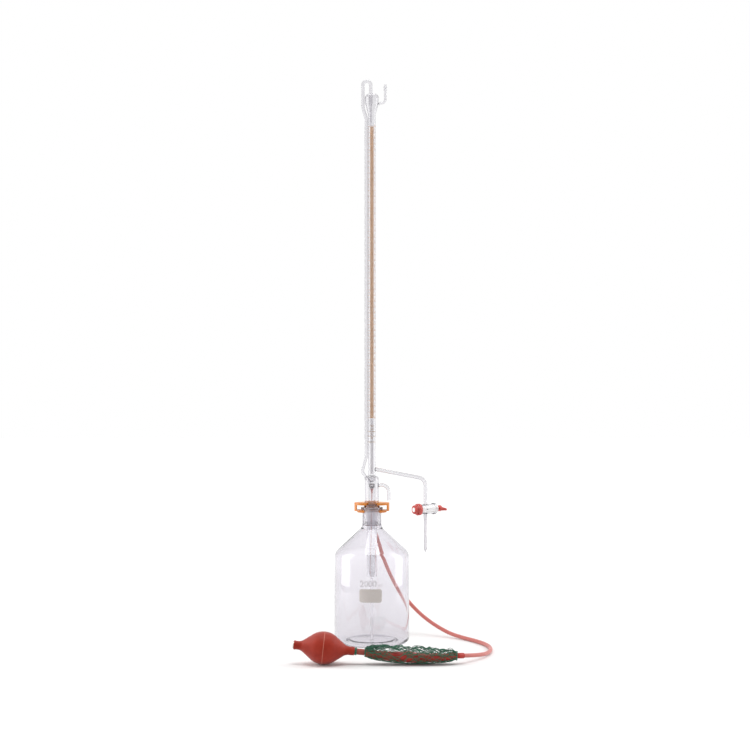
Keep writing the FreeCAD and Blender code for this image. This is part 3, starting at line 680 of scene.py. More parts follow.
# %% Bend the feed tube, vent, side arm and release tube
FEED_R = 3.25
FEED_BORE = 1.6
DIP_TOP = TUBE_END - 2.5
RISER_X = TUBE_R + FEED_R + 0.1
LEG_X = BULB_R + FEED_R + 0.3
LOOP_X = 2.0
KNEE_X = 17.6
KNEE_Z = JACKET_TOP + 7.5
LOOP_RISE = 86.25
CROWN_Z = ZERO_Z + LOOP_RISE - FEED_R
LOOP_BEND = (LEG_X - LOOP_X) / 2

feed = bent_tube("feed_tube_bent", [
    (-2.6, 0, DIP_TOP + JOINT_FIT, 0),
    (-KNEE_X, 0, KNEE_Z, 8),
    (-RISER_X, 0, KNEE_Z + 27.5, 14),
    (-RISER_X, 0, ZERO_Z + 15, 14),
    (-LEG_X, 0, ZERO_Z + 35, 14),
    (-LEG_X, 0, CROWN_Z, LOOP_BEND),
    (-LOOP_X, 0, CROWN_Z, LOOP_BEND),
    (-LOOP_X, 0, bulb_top - 1.2, 0),
], FEED_R, FEED_BORE)
dress_glass(feed, tube_glass, "feed_tube")

VENT_X = 24.4
VENT_TOP = ZERO_Z + 76.7
VENT_R, VENT_BORE = 2.35, 1.3
vent = bent_tube("vent_bent", [
    (BULB_R - 0.8, 0, VENT_TOP - 35.4, 0),
    (VENT_X, 0, VENT_TOP - 32, 6),
    (VENT_X, 0, VENT_TOP, 0),
], VENT_R, VENT_BORE)


# Two beads round the vent's end hold a slipped-on cap.
BEAD_R = 3.5
beads = [turned("vent_bead", [
    (VENT_R - 0.05, top - height),
    (BEAD_R, top - height * 0.6, 0.6),
    (VENT_R - 0.05, top),
], steps=32) for top, height in ((VENT_TOP - 3.2, 3.6), (VENT_TOP - 8.6, 2.6))]
join(vent, [stand_at(bead, VENT_X) for bead in beads])
dress_glass(vent, thin_glass, "vent_arm")

ARM_R = 3.65
ARM_BORE = 2.0
PORT_X = 97.6
ARM_RISE = 24.7
ARM_DROP = 18.8
KEY_DROP = 74.0
ARM_ROOT = TUBE_END + ARM_RISE
KEY_Z = ARM_ROOT - KEY_DROP
BARREL_R = 9.0
side_arm = bent_tube("side_arm_bent", [
    (TUBE_R - 0.6, 0, ARM_ROOT - 1.2, 0),
    (PORT_X, 0, ARM_ROOT - ARM_DROP, 14),
    (PORT_X, 0, KEY_Z + BARREL_R - 0.6, 0),
], ARM_R, ARM_BORE)
dress_glass(side_arm, tube_glass, "side_arm")

RELEASE_X = 30.8
RELEASE_R, RELEASE_BORE = 3.5, 2.2
release = bent_tube("release_tube_bent", [
    (JACKET_R - 0.9, 0, JACKET_TOP - 17.6, 0),
    (RELEASE_X, 0, JACKET_TOP - 15, 13),
    (RELEASE_X, 0, RIM_Z + 12, 0),
], RELEASE_R, RELEASE_BORE)
dress_glass(release, tube_glass, "release_tube")

# %% [markdown]
# ## Inside the bottle and the bulb
#
# The dip tube reaches to the bottle's floor. Above, its bore is too fine to see in the thick
# glass, so that part is drawn as a rod; below it is a thin tube. The overflow jet in the bulb is
# drawn to a fine tip, and so is the delivery tip under the stopcock.

# %% Draw the dip tube, the overflow jet and the delivery tip
DIP_R = 5.8
DIP_THIN_R = 3.3
DIP_BORE = 1.5
DIP_STEP = 128.0
JET_R = 2.0
TIP_BORE = 1.2
TIP_R = 3.0
TIP_ROOT_R = 3.6
TIP_LEN = 69.5
dip_foot = PUNT_H + FLOOR + 3
dip = turned("dip_tube_drawn", [
    (0, DIP_STEP - 12),
    (DIP_BORE, DIP_STEP - 12, 0.5),
    (DIP_BORE, dip_foot, 0.4),
    (DIP_THIN_R, dip_foot, 0.6),
    (DIP_THIN_R, DIP_STEP - 8, 6),
    (DIP_R, DIP_STEP, 6),
    (DIP_R, DIP_TOP, 3),
    (0, DIP_TOP),
], steps=48)
dress_glass(dip, dip_glass, "dip_tube")

WAIST_Z = ZERO_Z + BELLY_RISE
jet = turned("overflow_jet_drawn", [
    (0.8, ZERO_Z),
    (1.2, ZERO_Z),
    (JET_R, ZERO_Z + 9, 12),
    (JET_R, WAIST_Z - 6, 8),
    (FEED_R, WAIST_Z, 8),
    (FEED_R, bulb_top - 1.6),
    (FEED_BORE, bulb_top - 1.6),
    (FEED_BORE, WAIST_Z, 6),
    (0.8, WAIST_Z - 8, 6),
], steps=32)
stand_at(jet, -LOOP_X)
dress_glass(jet, thin_glass, "overflow_jet")

tip_root = KEY_Z - BARREL_R
tip_end = tip_root - TIP_LEN
tip = turned("delivery_tip_drawn", [
    (0.45, tip_end),
    (1.1, tip_end, 0.3),
    (TIP_R, tip_end + 7, 8),
    (TIP_R, tip_root - 12, 8),
    (TIP_ROOT_R, tip_root - 4, 6),
    (TIP_ROOT_R, tip_root + 0.6),
    (TIP_BORE, tip_root + 0.6),
    (TIP_BORE, tip_end + 9, 8),
], steps=32)
stand_at(tip, PORT_X)
dress_glass(tip, thin_glass, "delivery_tip")

# %% [markdown]
# ## Hose nozzle
#
# A short glass tube with rounded ribs slopes down behind the jacket. The hose is pushed over it.

# %% Turn the nozzle
NOZZLE_SLOPE = math.radians(30)
NOZZLE_ROOT = Vector((0, 0, JACKET_TOP - 13))
NOZZLE_AXIS = Vector((0, math.cos(NOZZLE_SLOPE), -math.sin(NOZZLE_SLOPE)))
NOZZLE_REACH = 38.0
NOZZLE_R, NOZZLE_WAIST_R, NOZZLE_RIB_R, NOZZLE_BORE = 3.6, 2.6, 3.1, 1.3
CUFF_START = 23.0
CUFF_END = 42.0

ribs = []
for i in range(3):
    start = NOZZLE_REACH - (3 - i) * 4
    ribs += [(NOZZLE_RIB_R, start, 0.3), (NOZZLE_WAIST_R, start + 3.6)]
nozzle = turned("hose_nozzle_turned", [
    (NOZZLE_BORE, JACKET_R),
    (NOZZLE_R, JACKET_R),
    (NOZZLE_R, CUFF_START - 5, 4),
    (NOZZLE_WAIST_R, CUFF_START - 1.5, 4),
    *ribs,
    (NOZZLE_WAIST_R, NOZZLE_REACH, 0.4),
    (NOZZLE_BORE, NOZZLE_REACH, 0.3),
], steps=32)
seat(nozzle, NOZZLE_ROOT, NOZZLE_AXIS)
dress_glass(nozzle, tube_glass, "hose_nozzle")

# %% [markdown]
# ## Red hose
#
# The hose is plain red rubber, 7 mm thick. It leaves its cuff on the nozzle, falls in one long
# curve behind the bottle, touches the bench at the right and comes forward to the balloon. Its
# own weight and its short length keep the curve open, so the route needs only a few points.

# %% Lay the hose
HOSE_R = 3.5
cuff_point = NOZZLE_ROOT + NOZZLE_AXIS * CUFF_END
HOSE_ROUTE = [
    tuple(cuff_point),
    tuple(NOZZLE_ROOT + NOZZLE_AXIS * (CUFF_END + 20)),
    (2.0, 66.5, 240.0),
    (5.0, 73.0, 213.0),
    (10.5, 77.0, 181.0),
    (20.5, 80.0, 146.0),
    (36.0, 82.0, 110.0),
    (55.0, 82.0, 78.0),
    (76.0, 78.0, 52.0),
    (98.0, 69.0, 32.5),
    (122.0, 56.0, 17.5),
    (146.0, 41.0, 7.0),
    (168.0, 21.0, 3.7),
    (190.0, -10.0, 3.7),
    (207.0, -45.0, 3.7),
    (211.0, -84.0, 3.7),
    (201.0, -126.0, 4.8),
    (181.0, -163.0, 9.0),
    (154.6, -185.4, 13.1),
]


def soft_line(name, route, radius):
    """Smooth round cord along a route of control points, in millimetres."""
    curve = bpy.data.curves.new(name, "CURVE")
    curve.dimensions = "3D"
    spline = curve.splines.new("NURBS")
    spline.points.add(len(route) - 1)
    for point, place in zip(spline.points, route):
        point.co = (*(c * MM for c in place), 1)
    spline.order_u = 3
    spline.use_endpoint_u = True
    spline.resolution_u = 12
    curve.bevel_depth = radius * MM
    curve.bevel_resolution = 6
    curve.use_fill_caps = True
    cord = bpy.data.objects.new(name, curve)
    bpy.context.scene.collection.objects.link(cord)
    return cord


def rubber(name, dark, light, roughness, blotch_mm, grain_mm, grain_depth, sheen=0.0):
    """Vulcanised rubber: two near shades in soft blotches, with a fine dusty grain."""
    material, tree, shader = new_material(name, light, roughness, Specular_IOR_Level=0.15,
                                          Sheen_Weight=sheen)
    two_shades(tree, shader, blotch_mm, dark, light, Detail=3.0, Roughness=0.6)
    fine_relief(tree, shader, grain_mm, 4.0, 0.4, grain_depth)
    return material


hose_rubber = rubber("red_hose_rubber", "B8605A", "CC7A72", 0.45, 12, 0.8, 0.05, sheen=0.3)
hose = soft_line("air_hose_line", HOSE_ROUTE, HOSE_R)
hose.data.materials.append(hose_rubber)
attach(hose, "burette")
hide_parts("air_hose")

# %% [markdown]
# ## Cuff
#
# The hose's end is stretched over the nozzle's ribs, so it is wider there and follows them a
# little, and its wall shows as a square-cut rim.

# %% Stretch the cuff over the nozzle
CUFF_R, CUFF_WAIST_R = 4.4, 4.25
CUFF_BORE, CUFF_HOLE = NOZZLE_RIB_R + JOINT_FIT, 0.6

cuff = turned("hose_cuff_stretched", [
    (CUFF_BORE, CUFF_START),
    (CUFF_R, CUFF_START, 0.5),
    (CUFF_WAIST_R, CUFF_START + 5, 3),
    (CUFF_R, CUFF_START + 8, 3),
    (CUFF_WAIST_R, CUFF_START + 11, 3),
    (CUFF_R, NOZZLE_REACH - 1, 3),
    (HOSE_R, CUFF_END, 3),
    (CUFF_HOLE, CUFF_END, 0.2),
    (CUFF_HOLE, NOZZLE_REACH + JOINT_FIT),
    (CUFF_BORE, NOZZLE_REACH + JOINT_FIT),
], steps=40)
seat(cuff, NOZZLE_ROOT, NOZZLE_AXIS)
dress(cuff, hose_rubber, "burette", "hose_cuff", slot="red_rubber")

# %% [markdown]
# ## Hand bulb
#
# The hand bulb is moulded brick-red rubber, shaped like a lemon: a round belly that runs in
# hollow curves into a short spout at the left and a neck at the right. A thin moulding seam runs
# round the belly. It lies on the bench and tilts down towards the balloon.

# %% Mould the hand bulb
GRIP_R = 27.4
GRIP_BOW = 34.0
GRIP_SLOPE = math.radians(36.5)
GRIP_FILLET = 14.0
GRIP_TILT = math.radians(6)
GRIP_WALL = 3.0
GRIP_NECK_R = 7.2
GRIP_LIP_R = 7.8
VALVE_R = 4.6
SPIGOT_R = 3.95
SPIGOT_LEN = 12
SPOUT_END = -50.2
NECK_END = 52.3
GRIP_AXIS = Vector((math.cos(GRIP_TILT), 0, -math.sin(GRIP_TILT)))
GRIP = Vector((-81, -193, GRIP_BOW - (GRIP_BOW - GRIP_R) * math.cos(GRIP_TILT) + 0.05))


def on_grip(s):
    """Point on the bellows' axis, counted from the middle of the hand bulb."""
    return GRIP + GRIP_AXIS * s


def belly(neck_r, wall, way):
    """Corners of the belly: two slopes from the necks, joined by one large bow."""
    bow = GRIP_BOW - wall
    peak = GRIP_R - wall + bow * (1 / math.cos(GRIP_SLOPE) - 1)
    half_len = (peak - neck_r) / math.tan(GRIP_SLOPE)
    fillet = GRIP_FILLET + wall
    return [(neck_r, -half_len * way, fillet), (peak, 0, bow), (neck_r, half_len * way, fillet)]


hand_bulb = turned("hand_bulb_moulded", [
    (VALVE_R + JOINT_FIT, SPOUT_END, 0.4),
    (GRIP_LIP_R, SPOUT_END, 0.8),
    (GRIP_LIP_R, SPOUT_END + 1.6, 1),
    (GRIP_NECK_R, SPOUT_END + 3.4, 3),
    *belly(GRIP_NECK_R, 0, 1),
    (GRIP_NECK_R, NECK_END, 0.8),
    (SPIGOT_R + JOINT_FIT, NECK_END, 0.4),
    (SPIGOT_R + JOINT_FIT, NECK_END - SPIGOT_LEN),
    *belly(VALVE_R + JOINT_FIT, GRIP_WALL, -1),
], steps=80)

# The halves of the mould leave a thin raised seam, a few tenths of a millimetre high.
SEAM = 0.35
SEAM_HALF = 0.8
seam = turned("hand_bulb_seam", [
    (GRIP_R - 1, -SEAM_HALF),
    (GRIP_R + 0.02, -0.7, 0.2),
    (GRIP_R + SEAM, 0, 0.5),
    (GRIP_R + 0.02, 0.7, 0.2),
    (GRIP_R - 1, SEAM_HALF),
], steps=80)
join(hand_bulb, [seam])
seat(hand_bulb, GRIP, GRIP_AXIS)

bulb_rubber = rubber("brick_red_moulded_rubber", "8A1E0E", "AE3520", 0.45, 16, 0.9, 0.05,
                     sheen=0.25)
# The seam's paler rubber is a painted highlight of the raised seam, not a colour of its own.
seam_highlight_rubber = rubber("painted_highlight_seam_rubber", "B5604F", "C87262", 0.6, 6, 0.6, 0.05, sheen=0.3)
dress(hand_bulb, bulb_rubber, "burette", "hand_bulb", slot="red_rubber")

# The faces that lie on the raised seam are painted paler than the rest: a painted highlight along
# the seam.
hand_bulb.data.materials.append(seam_highlight_rubber)
for face in hand_bulb.data.polygons:
    centre = face.center / MM
    s = (centre - GRIP).dot(GRIP_AXIS)
    if abs(s) < SEAM_HALF and (centre - on_grip(s)).length > GRIP_R - 0.2:
        face.material_index = 1

# %% [markdown]
# ## Valves, connector and its thread
#
# Air enters through a nickelled brass valve in the spout and leaves through a second one in a
# short rubber-covered tube between the bulb and the balloon. The neck is bound to that tube
# with turns of dark green thread. Both valves hold a loose metal ball, and their solids already
# have the right shape, so these keep their solids and only get their metal.

# %% Valves, connector and thread


def nickelled(name):
    """Nickel-plated brass: a warm grey metal with faint turning marks."""
    material, tree, shader = new_material(name, "B9B4AA", 0.28, Metallic=1.0)
    fine_relief(tree, shader, 1.2, 2.0, 0.3, 0.02)
    return material


def finish_node(material, *nodes):
    """Give the solids of the frame their material."""
    for node in nodes:
        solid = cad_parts[node]
        solid.data.materials.clear()
        solid.data.materials.append(material)
        print(node, "gets", material.name)


valve_metal = nickelled("nickelled_brass_valve")
finish_node(valve_metal, "intake_valve", "intake_ball", "outlet_ball")

CONNECTOR_R = 5.3
CONNECTOR_LEN = 17.0
AIR_HOLE_R = 1.5
CAGE_R = 2.65
CAGE_FROM, CAGE_TO = 2.4, 7.8
connector = turned("bellows_connector_sleeve", [
    (AIR_HOLE_R, NECK_END - SPIGOT_LEN),
    (SPIGOT_R, NECK_END - SPIGOT_LEN, 0.5),
    (SPIGOT_R, NECK_END),
    (CONNECTOR_R, NECK_END, 0.6),
    (CONNECTOR_R - 0.25, NECK_END + 5, 4),
    (CONNECTOR_R, NECK_END + 9, 4),
    (CONNECTOR_R - 0.2, NECK_END + 13, 4),
    (CONNECTOR_R, NECK_END + CONNECTOR_LEN, 0.6),
    (SPIGOT_R, NECK_END + CONNECTOR_LEN),
    (SPIGOT_R, NECK_END + CONNECTOR_LEN + SPIGOT_LEN, 0.5),
    (AIR_HOLE_R, NECK_END + CONNECTOR_LEN + SPIGOT_LEN),
    (AIR_HOLE_R, NECK_END + CAGE_TO),
    (CAGE_R, NECK_END + CAGE_TO, 0.3),
    (CAGE_R, NECK_END + CAGE_FROM),
    (AIR_HOLE_R, NECK_END + CAGE_FROM),
], steps=48)
seat(connector, GRIP, GRIP_AXIS)
sleeve_rubber = rubber("red_sleeve_rubber", "93443C", "A9564C", 0.5, 8, 0.7, 0.06, sheen=0.1)
dress(connector, sleeve_rubber, "burette", "bellows_connector", slot="connector_plastic")


def wound_thread(name, inner_r, start, length, thread_r, seed):
    """Turns of thread side by side round a neck, each lying a little askew, and a small knot."""
    chance = random.Random(seed)
    count = max(1, round(length / (2 * thread_r)))
    first = start_from(bpy.ops.mesh.primitive_torus_add, name, major_segments=40, minor_segments=8,
                       major_radius=(inner_r + thread_r) * MM, minor_radius=thread_r * MM)
    turns = copies_of(first, count)
    for i, turn in enumerate(turns):
        askew = chance.uniform(-0.05, 0.05)
        for vertex in turn.data.vertices:
            x, y, z = vertex.co
            vertex.co = (x, y, z + askew * x + (start + thread_r + i * 2 * thread_r) * MM)
    knot = bent_tube(name + "_knot", [
        (inner_r + 0.6, -1.6, start + length * 0.2, 0),
        (inner_r + 1.6, -0.4, start + length * 0.7, 0.6),
        (inner_r + 1.7, 0.9, start + length * 0.3, 0.6),
        (inner_r + 0.7, 1.7, start + length * 0.8, 0),
    ], thread_r * 0.9, sides=2)
    return join(first, turns[1:] + [knot])


def twisted_cord(name, dark, light, twist_mm):
    """Dyed cotton cord with slanting strand ribs; their colour runs from a painted shade between
    strands to a painted highlight on them.
    """
    material, tree, shader = new_material(name, light, 0.75, Sheen_Weight=0.35,
                                          Sheen_Roughness=0.4)
    place = add_node(tree, "ShaderNodeTexCoord")
    ribs = add_node(tree, "ShaderNodeTexWave", {"Vector": place.outputs["Object"]},
                    bands_direction="DIAGONAL", Scale=0.31 / (twist_mm * MM),
                    Distortion=3.0, Detail=2.0)
    # Dark green is painted shade and light green is painted highlight; the ribs' relief from the
    # bump below is real.
    colour = mix_colours(tree, ribs.outputs["Fac"], dark, light)
    tree.links.new(colour, shader.inputs["Base Color"])
    bump_from(tree, shader, ribs.outputs["Fac"], 0.7, 0.1)
    return material


green_cord = twisted_cord("dark_green_cotton_cord", "123828", "358261", 1.0)
thread_tie = wound_thread("connector_thread", CONNECTOR_R + 0.02, NECK_END + 0.4, 3.6, 0.6, seed=3)
seat(thread_tie, GRIP, GRIP_AXIS)
dress(thread_tie, green_cord, "burette", "connector_tie", slot="net_cord")

# %% [markdown]
# ## Slack balloon
#
# The reservoir balloon is a thin red rubber bladder. It holds no pressure in the photograph, so
# it lies slack in the lower half of its net: full at its two necks, sunken in between, with long
# creases. It is turned as a full spindle, and then its skin is let down point by point.

# %% Let the balloon down
BALLOON_R = 14.9
BALLOON_LEFT_R = 8.0
BALLOON_RIGHT_R = 7.4
BALLOON_NECK_R = 5.2
NECK_LEN = 13.0
hose_end = Vector(HOSE_ROUTE[-1])
neck_axis = (Vector(HOSE_ROUTE[-2]) - hose_end).normalized()
bag_left = on_grip(NECK_END + CONNECTOR_LEN)
bag_right = hose_end - neck_axis * NECK_LEN
bag_axis = (bag_right - bag_left).normalized()
BAG_LEN = (bag_right - bag_left).length
bag_side = Vector(UPRIGHT).cross(bag_axis).normalized()
bag_up = bag_axis.cross(bag_side)


def bag_radius(s):
    """Radius of the full balloon at a distance along its axis, an arc through three radii."""
    share = s / BAG_LEN
    ends = BALLOON_LEFT_R + (BALLOON_RIGHT_R - BALLOON_LEFT_R) * share
    middle = BALLOON_R - (BALLOON_LEFT_R + BALLOON_RIGHT_R) / 2
    return ends + middle * 4 * share * (1 - share)


def fullness(s, end_len):
    """0 at the two tied ends of the bag and 1 away from them."""
    return min(1.0, s / end_len, (BAG_LEN - s) / end_len) if 0 < s < BAG_LEN else 0.0


BLADDER_INSET = 1.3
STATIONS = 60
along = [3.0 + (BAG_LEN - 6.0) * i / STATIONS for i in range(STATIONS + 1)]
bladder = turned("slack_balloon", [
    (SPIGOT_R + JOINT_FIT, 0.6),
    (BALLOON_NECK_R, 0.6, 0.4),
    *((bag_radius(s) - BLADDER_INSET, s, 0) for s in along),
    (BALLOON_NECK_R, BAG_LEN - 0.5, 2),
    (0, BAG_LEN - 0.5),
], steps=72)
seat(bladder, bag_left, bag_axis)

chance = random.Random(11)
crease_phase = [chance.uniform(0, 2 * math.pi) for _ in range(6)]


def let_down(place):
    """Where a point of the full skin goes when the balloon is slack."""
    from_left = place - bag_left
    s = from_left.dot(bag_axis)
    full = fullness(s, 26.0)
    slack = full * full * (3 - 2 * full)
    side, up = from_left.dot(bag_side), from_left.dot(bag_up)
    angle = math.atan2(side, up)
    waves = zip((3, 5, 8), crease_phase)
    crease = sum(math.sin(k * angle + 0.05 * k * s + phase) for k, phase in waves) / 3
    fold = math.sin(0.11 * s + crease_phase[3]) + 0.6 * math.sin(0.27 * s + crease_phase[4])
    if up > 0:
        up *= 1 - slack * (0.78 + 0.08 * fold)
    side *= 1 - 0.05 * slack
    puff = 1 + 0.05 * slack * crease
    return bag_left + bag_axis * s + bag_side * side * puff + bag_up * (up * puff - 0.6 * slack)


for vertex in bladder.data.vertices:
    vertex.co = let_down(vertex.co / MM) * MM

neck = bent_tube("balloon_neck", [
    (*(bag_right - bag_axis * 3), 0),
    (*(bag_right + neck_axis * 2), 6),
    (*(hose_end - neck_axis * 0.3), 0),
], BALLOON_NECK_R - 0.5, HOSE_R - 0.1)
join(bladder, [neck])
smooth_all(bladder)
bladder_rubber = rubber("thin_dipped_red_rubber", "9A2B26", "C84A42", 0.32, 9, 1.2, 0.08)
dress(bladder, bladder_rubber, "burette", "balloon_bladder", slot="bladder_rubber")

# %% [markdown]
# ## Knotted net
#
# The balloon lies in a net of dark green cord, larger than the slack rubber, with its ends tied.
# Two families of cords wind round the bag in opposite ways and cross as knots, which gives the
# diamond meshes. One cord is made once, straight, and each copy is wound into its own place with
# a little disorder. Where the net has no rubber under it, it sinks and throws loose loops.

# %% Wind the net
NET_CORDS = 9
NET_LAYERS = 2
NET_TURNS = 1.05
NET_CORD_R = 0.45
NET_LIFT = 0.6
CORD_STEPS = 110
CORD_SPAN = 100
chance = random.Random(7)


def bag_point(s, angle, lift):
    """Point of the net at a distance along the bag and an angle from its top."""
    full = fullness(s, 16.0)
    gather = 5.4 / bag_radius(s)
    radius = bag_radius(s) * (gather + (1 - gather) * full * (2 - full)) + lift
    side, up = math.sin(angle) * radius, math.cos(angle) * radius
    if up > 0:
        fallen = min(1.0, max(0.0, (s - 22) / 40)) * min(1.0, (BAG_LEN - s) / 30)
        up *= 0.98 - 0.24 * fallen + 0.05 * math.sin(0.21 * s + 1.0) + 0.05 * math.sin(0.53 * s)
    else:
        up *= 1.06
    place = bag_left + bag_axis * s + bag_side * side + bag_up * up
    place.z = max(place.z, 0.75 + NET_CORD_R * (1 + 0.3 * math.sin(s + 5 * angle)))
    return place


def wind(cord, start_angle, way, loose):
    """Wind a straight cord, which runs along Z, round the bag."""
    wave = [chance.uniform(0, 2 * math.pi) for _ in range(4)]
    for vertex in cord.data.vertices:
        share = vertex.co.z / MM / CORD_SPAN
        s = BAG_LEN * (0.004 + 0.992 * share) + 1.6 * loose * math.sin(23 * share + wave[0])
        angle = start_angle + way * 2 * math.pi * NET_TURNS * share
        sway = 0.10 * math.sin(31 * share + wave[1]) + 0.06 * math.sin(57 * share + wave[2])
        angle += loose * sway
        lift = NET_LIFT * (1 + way * math.cos(NET_CORDS * angle)) / 2
        lift += 0.9 * loose * max(0.0, math.sin(17 * share + wave[3])) * max(0.0, math.cos(angle))
        vertex.co = bag_point(min(max(s, 0.6), BAG_LEN - 0.6), angle, lift) * MM


def round_section(cord, radius, sides):
    """Give a line a round section and make it a mesh."""
    choose(cord)
    bpy.ops.object.convert(target="CURVE")
    cord.data.bevel_depth = radius * MM
    cord.data.bevel_resolution = sides
    cord.data.use_fill_caps = True
    bpy.ops.object.convert(target="MESH")
    return bpy.context.object


straight = draw_line("net_cord", [(0, 0, 0, 0), (0, 0, CORD_SPAN, 0)])
edit_all()
bpy.ops.mesh.subdivide(number_cuts=CORD_STEPS)
end_edit()
net_cords = copies_of(straight, 2 * NET_CORDS * NET_LAYERS)
for i, cord in enumerate(net_cords):
    way = 1 if i % 2 else -1
    start = 2 * math.pi * (i // 2 + 0.25 * way + chance.uniform(-0.5, 0.5)) / NET_CORDS
    wind(cord, start, way, loose=0.8 + 1.0 * (i % 4 > 1))
net_cords = [round_section(cord, NET_CORD_R, 1) for cord in net_cords]
net = join(net_cords[0], net_cords[1:])
name_piece(net, "knotted_net")
print("net cords", len(net_cords))

# %% [markdown]
# ## Loose loops of the net
#
# The upper half of the net is slack, so its cord stands up in small loops of uneven size, most
# of them near the left end. Each loop is an open arch whose two feet stay in the net.

# %% Add the loose loops
LOOPS = 140


def loose_loop(s, angle, width, height, lean):
    """Arch of cord over the net, from foot to foot."""
    points = []
    for i in range(9):
        turn = math.pi * i / 8
        rise = math.sin(turn)
        place = s - width / 2 * math.cos(turn) + 0.35 * width * math.sin(2 * turn) * lean
        place = min(max(place, 1), BAG_LEN - 1)
        points.append(bag_point(place, angle + lean * rise * 0.3, height * rise))
    return bent_tube("net_loop", [(*point, 1.2) for point in points], NET_CORD_R * 0.9, sides=1)


loops = []
for i in range(LOOPS):
    near_left = chance.random() < 0.35
    s = chance.uniform(6, 34) if near_left else chance.uniform(30, BAG_LEN - 6)
    angle = chance.uniform(-1.4, 1.4)
    tall = chance.uniform(1.5, 4.2 if near_left else 4.6)
    loops.append(loose_loop(s, angle, chance.uniform(4, 10), tall, chance.uniform(-1, 1)))
join(net, loops)
smooth_all(net)
dress(net, green_cord, "burette", "balloon_net", slot="net_cord")

TIE_R = 7.0
TIE_LEN = 2.2
for end, start, seed in (("left", 0.4, 5), ("right", BAG_LEN - TIE_LEN - 0.4, 6)):
    net_tie = wound_thread("net_thread_" + end, TIE_R, start, TIE_LEN, 0.55, seed)
    seat(net_tie, bag_left, bag_axis)
    dress(net_tie, green_cord, "burette", "net_tie_" + end, slot="net_cord")

# %% [markdown]
# ## Moulded plastic
#
# The clip on the joint is orange acetal, springy and slightly waxy. The winged handle and the
# nut of the stopcock are red polypropylene. All three are injection moulded, so no edge is
# truly sharp. A copy of each solid keeps the shape, its seams are merged, and a small bevel
# rounds its edges, which is what catches the light.

# %% Soften the moulded solids


def softened(node, name, edge_mm):
    """Copy of a solid whose sharp edges are rounded, as the mould leaves them."""
    piece = copies_of(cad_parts[node], 2)[1]
    name_piece(piece, name)
    piece.parent = None
    piece.hide_render = False
    choose(piece)
    edit_all()
    bpy.ops.mesh.remove_doubles(threshold=SEAM_REACH * MM)
    bpy.ops.mesh.dissolve_limited(angle_limit=math.radians(0.5))
    end_edit()
    bevel = piece.modifiers.new("mould_edges", "BEVEL")
    bevel.width = edge_mm * MM
    bevel.segments = 2
    bevel.limit_method = "ANGLE"
    bevel.angle_limit = math.radians(40)
    bevel.use_clamp_overlap = True
    bpy.ops.object.modifier_apply(modifier=bevel.name)
    bpy.ops.object.shade_smooth_by_angle(angle=math.radians(35))
    return piece


def moulded_plastic(name, dark, light, roughness, coat, flow_mm, see_through=0.0):
    """Injection-moulded plastic: faint flow marks in the colour and a fine spark-eroded grain."""
    material, tree, shader = new_material(name, light, roughness,
                                          Coat_Weight=coat, Coat_Roughness=0.2,
                                          Subsurface_Weight=see_through,
                                          Subsurface_Radius=(0.003, 0.0012, 0.0006))
    two_shades(tree, shader, flow_mm, dark, light, Detail=2.0, Distortion=1.0)
    fine_relief(tree, shader, 0.5, 3.0, 0.25, 0.03)
    return material


orange_acetal = moulded_plastic("orange_acetal_moulded", "C26C08", "DB840E", 0.4, 0.3, 18,
                                see_through=0.15)
clip = softened("joint_clip", "joint_clip_moulded", 0.7)
dress(clip, orange_acetal, "clip", "joint_clip", slot="orange_plastic")

# %% [markdown]
# ## Stopcock
#
# The barrel is clear glass with a smooth tapered bore. In it sits a white key of turned PTFE,
# which needs no grease and looks waxy and milky, never shiny. The key's front end carries a
# sealing ring, a washer and the red nut, and its back end a red winged handle.

# %% Turn the barrel and the key
BARREL_FRONT = 12.0
BARREL_BACK = 20.5
BARREL_SMALL_R = 8.3
COLLAR_R = 10.5
COLLAR_LEN = 4.6
KEY_FRONT_R = 6.0
SPINDLE_R = 4.6
SPINDLE_REACH = 26.2
HEAD_R = 7.0
HEAD_LEN = 4.0
STEM_R = 3.6
STEM_LEN = 8.0
KEY_TURN = math.radians(32)
KEY_AXIS = (math.cos(KEY_TURN), math.sin(KEY_TURN), 0)


def key_r(s):
    """Radius of the tapered key at a place along its axis."""
    return KEY_FRONT_R + (s + BARREL_FRONT) * TAPER / 2


barrel = turned("stopcock_barrel_blown", [
    (key_r(-BARREL_FRONT) + JOINT_FIT, -BARREL_FRONT, 0.3),
    (BARREL_SMALL_R, -BARREL_FRONT, 0.8),
    (BARREL_R, 0, 6),
    (BARREL_R, BARREL_BACK - COLLAR_LEN - 1.5, 1.5),
    (COLLAR_R, BARREL_BACK - COLLAR_LEN, 1.2),
    (COLLAR_R, BARREL_BACK, 1.2),
    (key_r(BARREL_BACK) + JOINT_FIT, BARREL_BACK, 0.4),
], steps=72)
seat(barrel, (PORT_X, 0, KEY_Z), KEY_AXIS)
dress_glass(barrel, tube_glass, "stopcock_barrel")

head_end = BARREL_BACK + HEAD_LEN
THREAD_PITCH = 1.5
thread = []
for i in range(8):
    s = -SPINDLE_REACH + 0.8 + i * THREAD_PITCH
    thread += [(SPINDLE_R - 0.5, s), (SPINDLE_R, s + 0.6), (SPINDLE_R - 0.02, s + 0.9)]
key = turned("stopcock_key_turned", [
    (0, -SPINDLE_REACH),
    (SPINDLE_R - 0.6, -SPINDLE_REACH, 0.3),
    *thread,
    (SPINDLE_R, -BARREL_FRONT),
    (key_r(-BARREL_FRONT), -BARREL_FRONT, 0.2),
    (key_r(BARREL_BACK), BARREL_BACK, 0.2),
    (HEAD_R, BARREL_BACK + 0.4, 0.4),
    (HEAD_R, head_end, 0.8),
    (STEM_R, head_end, 0.3),
    (STEM_R, head_end + STEM_LEN, 0.5),
    (0, head_end + STEM_LEN),
], steps=64)


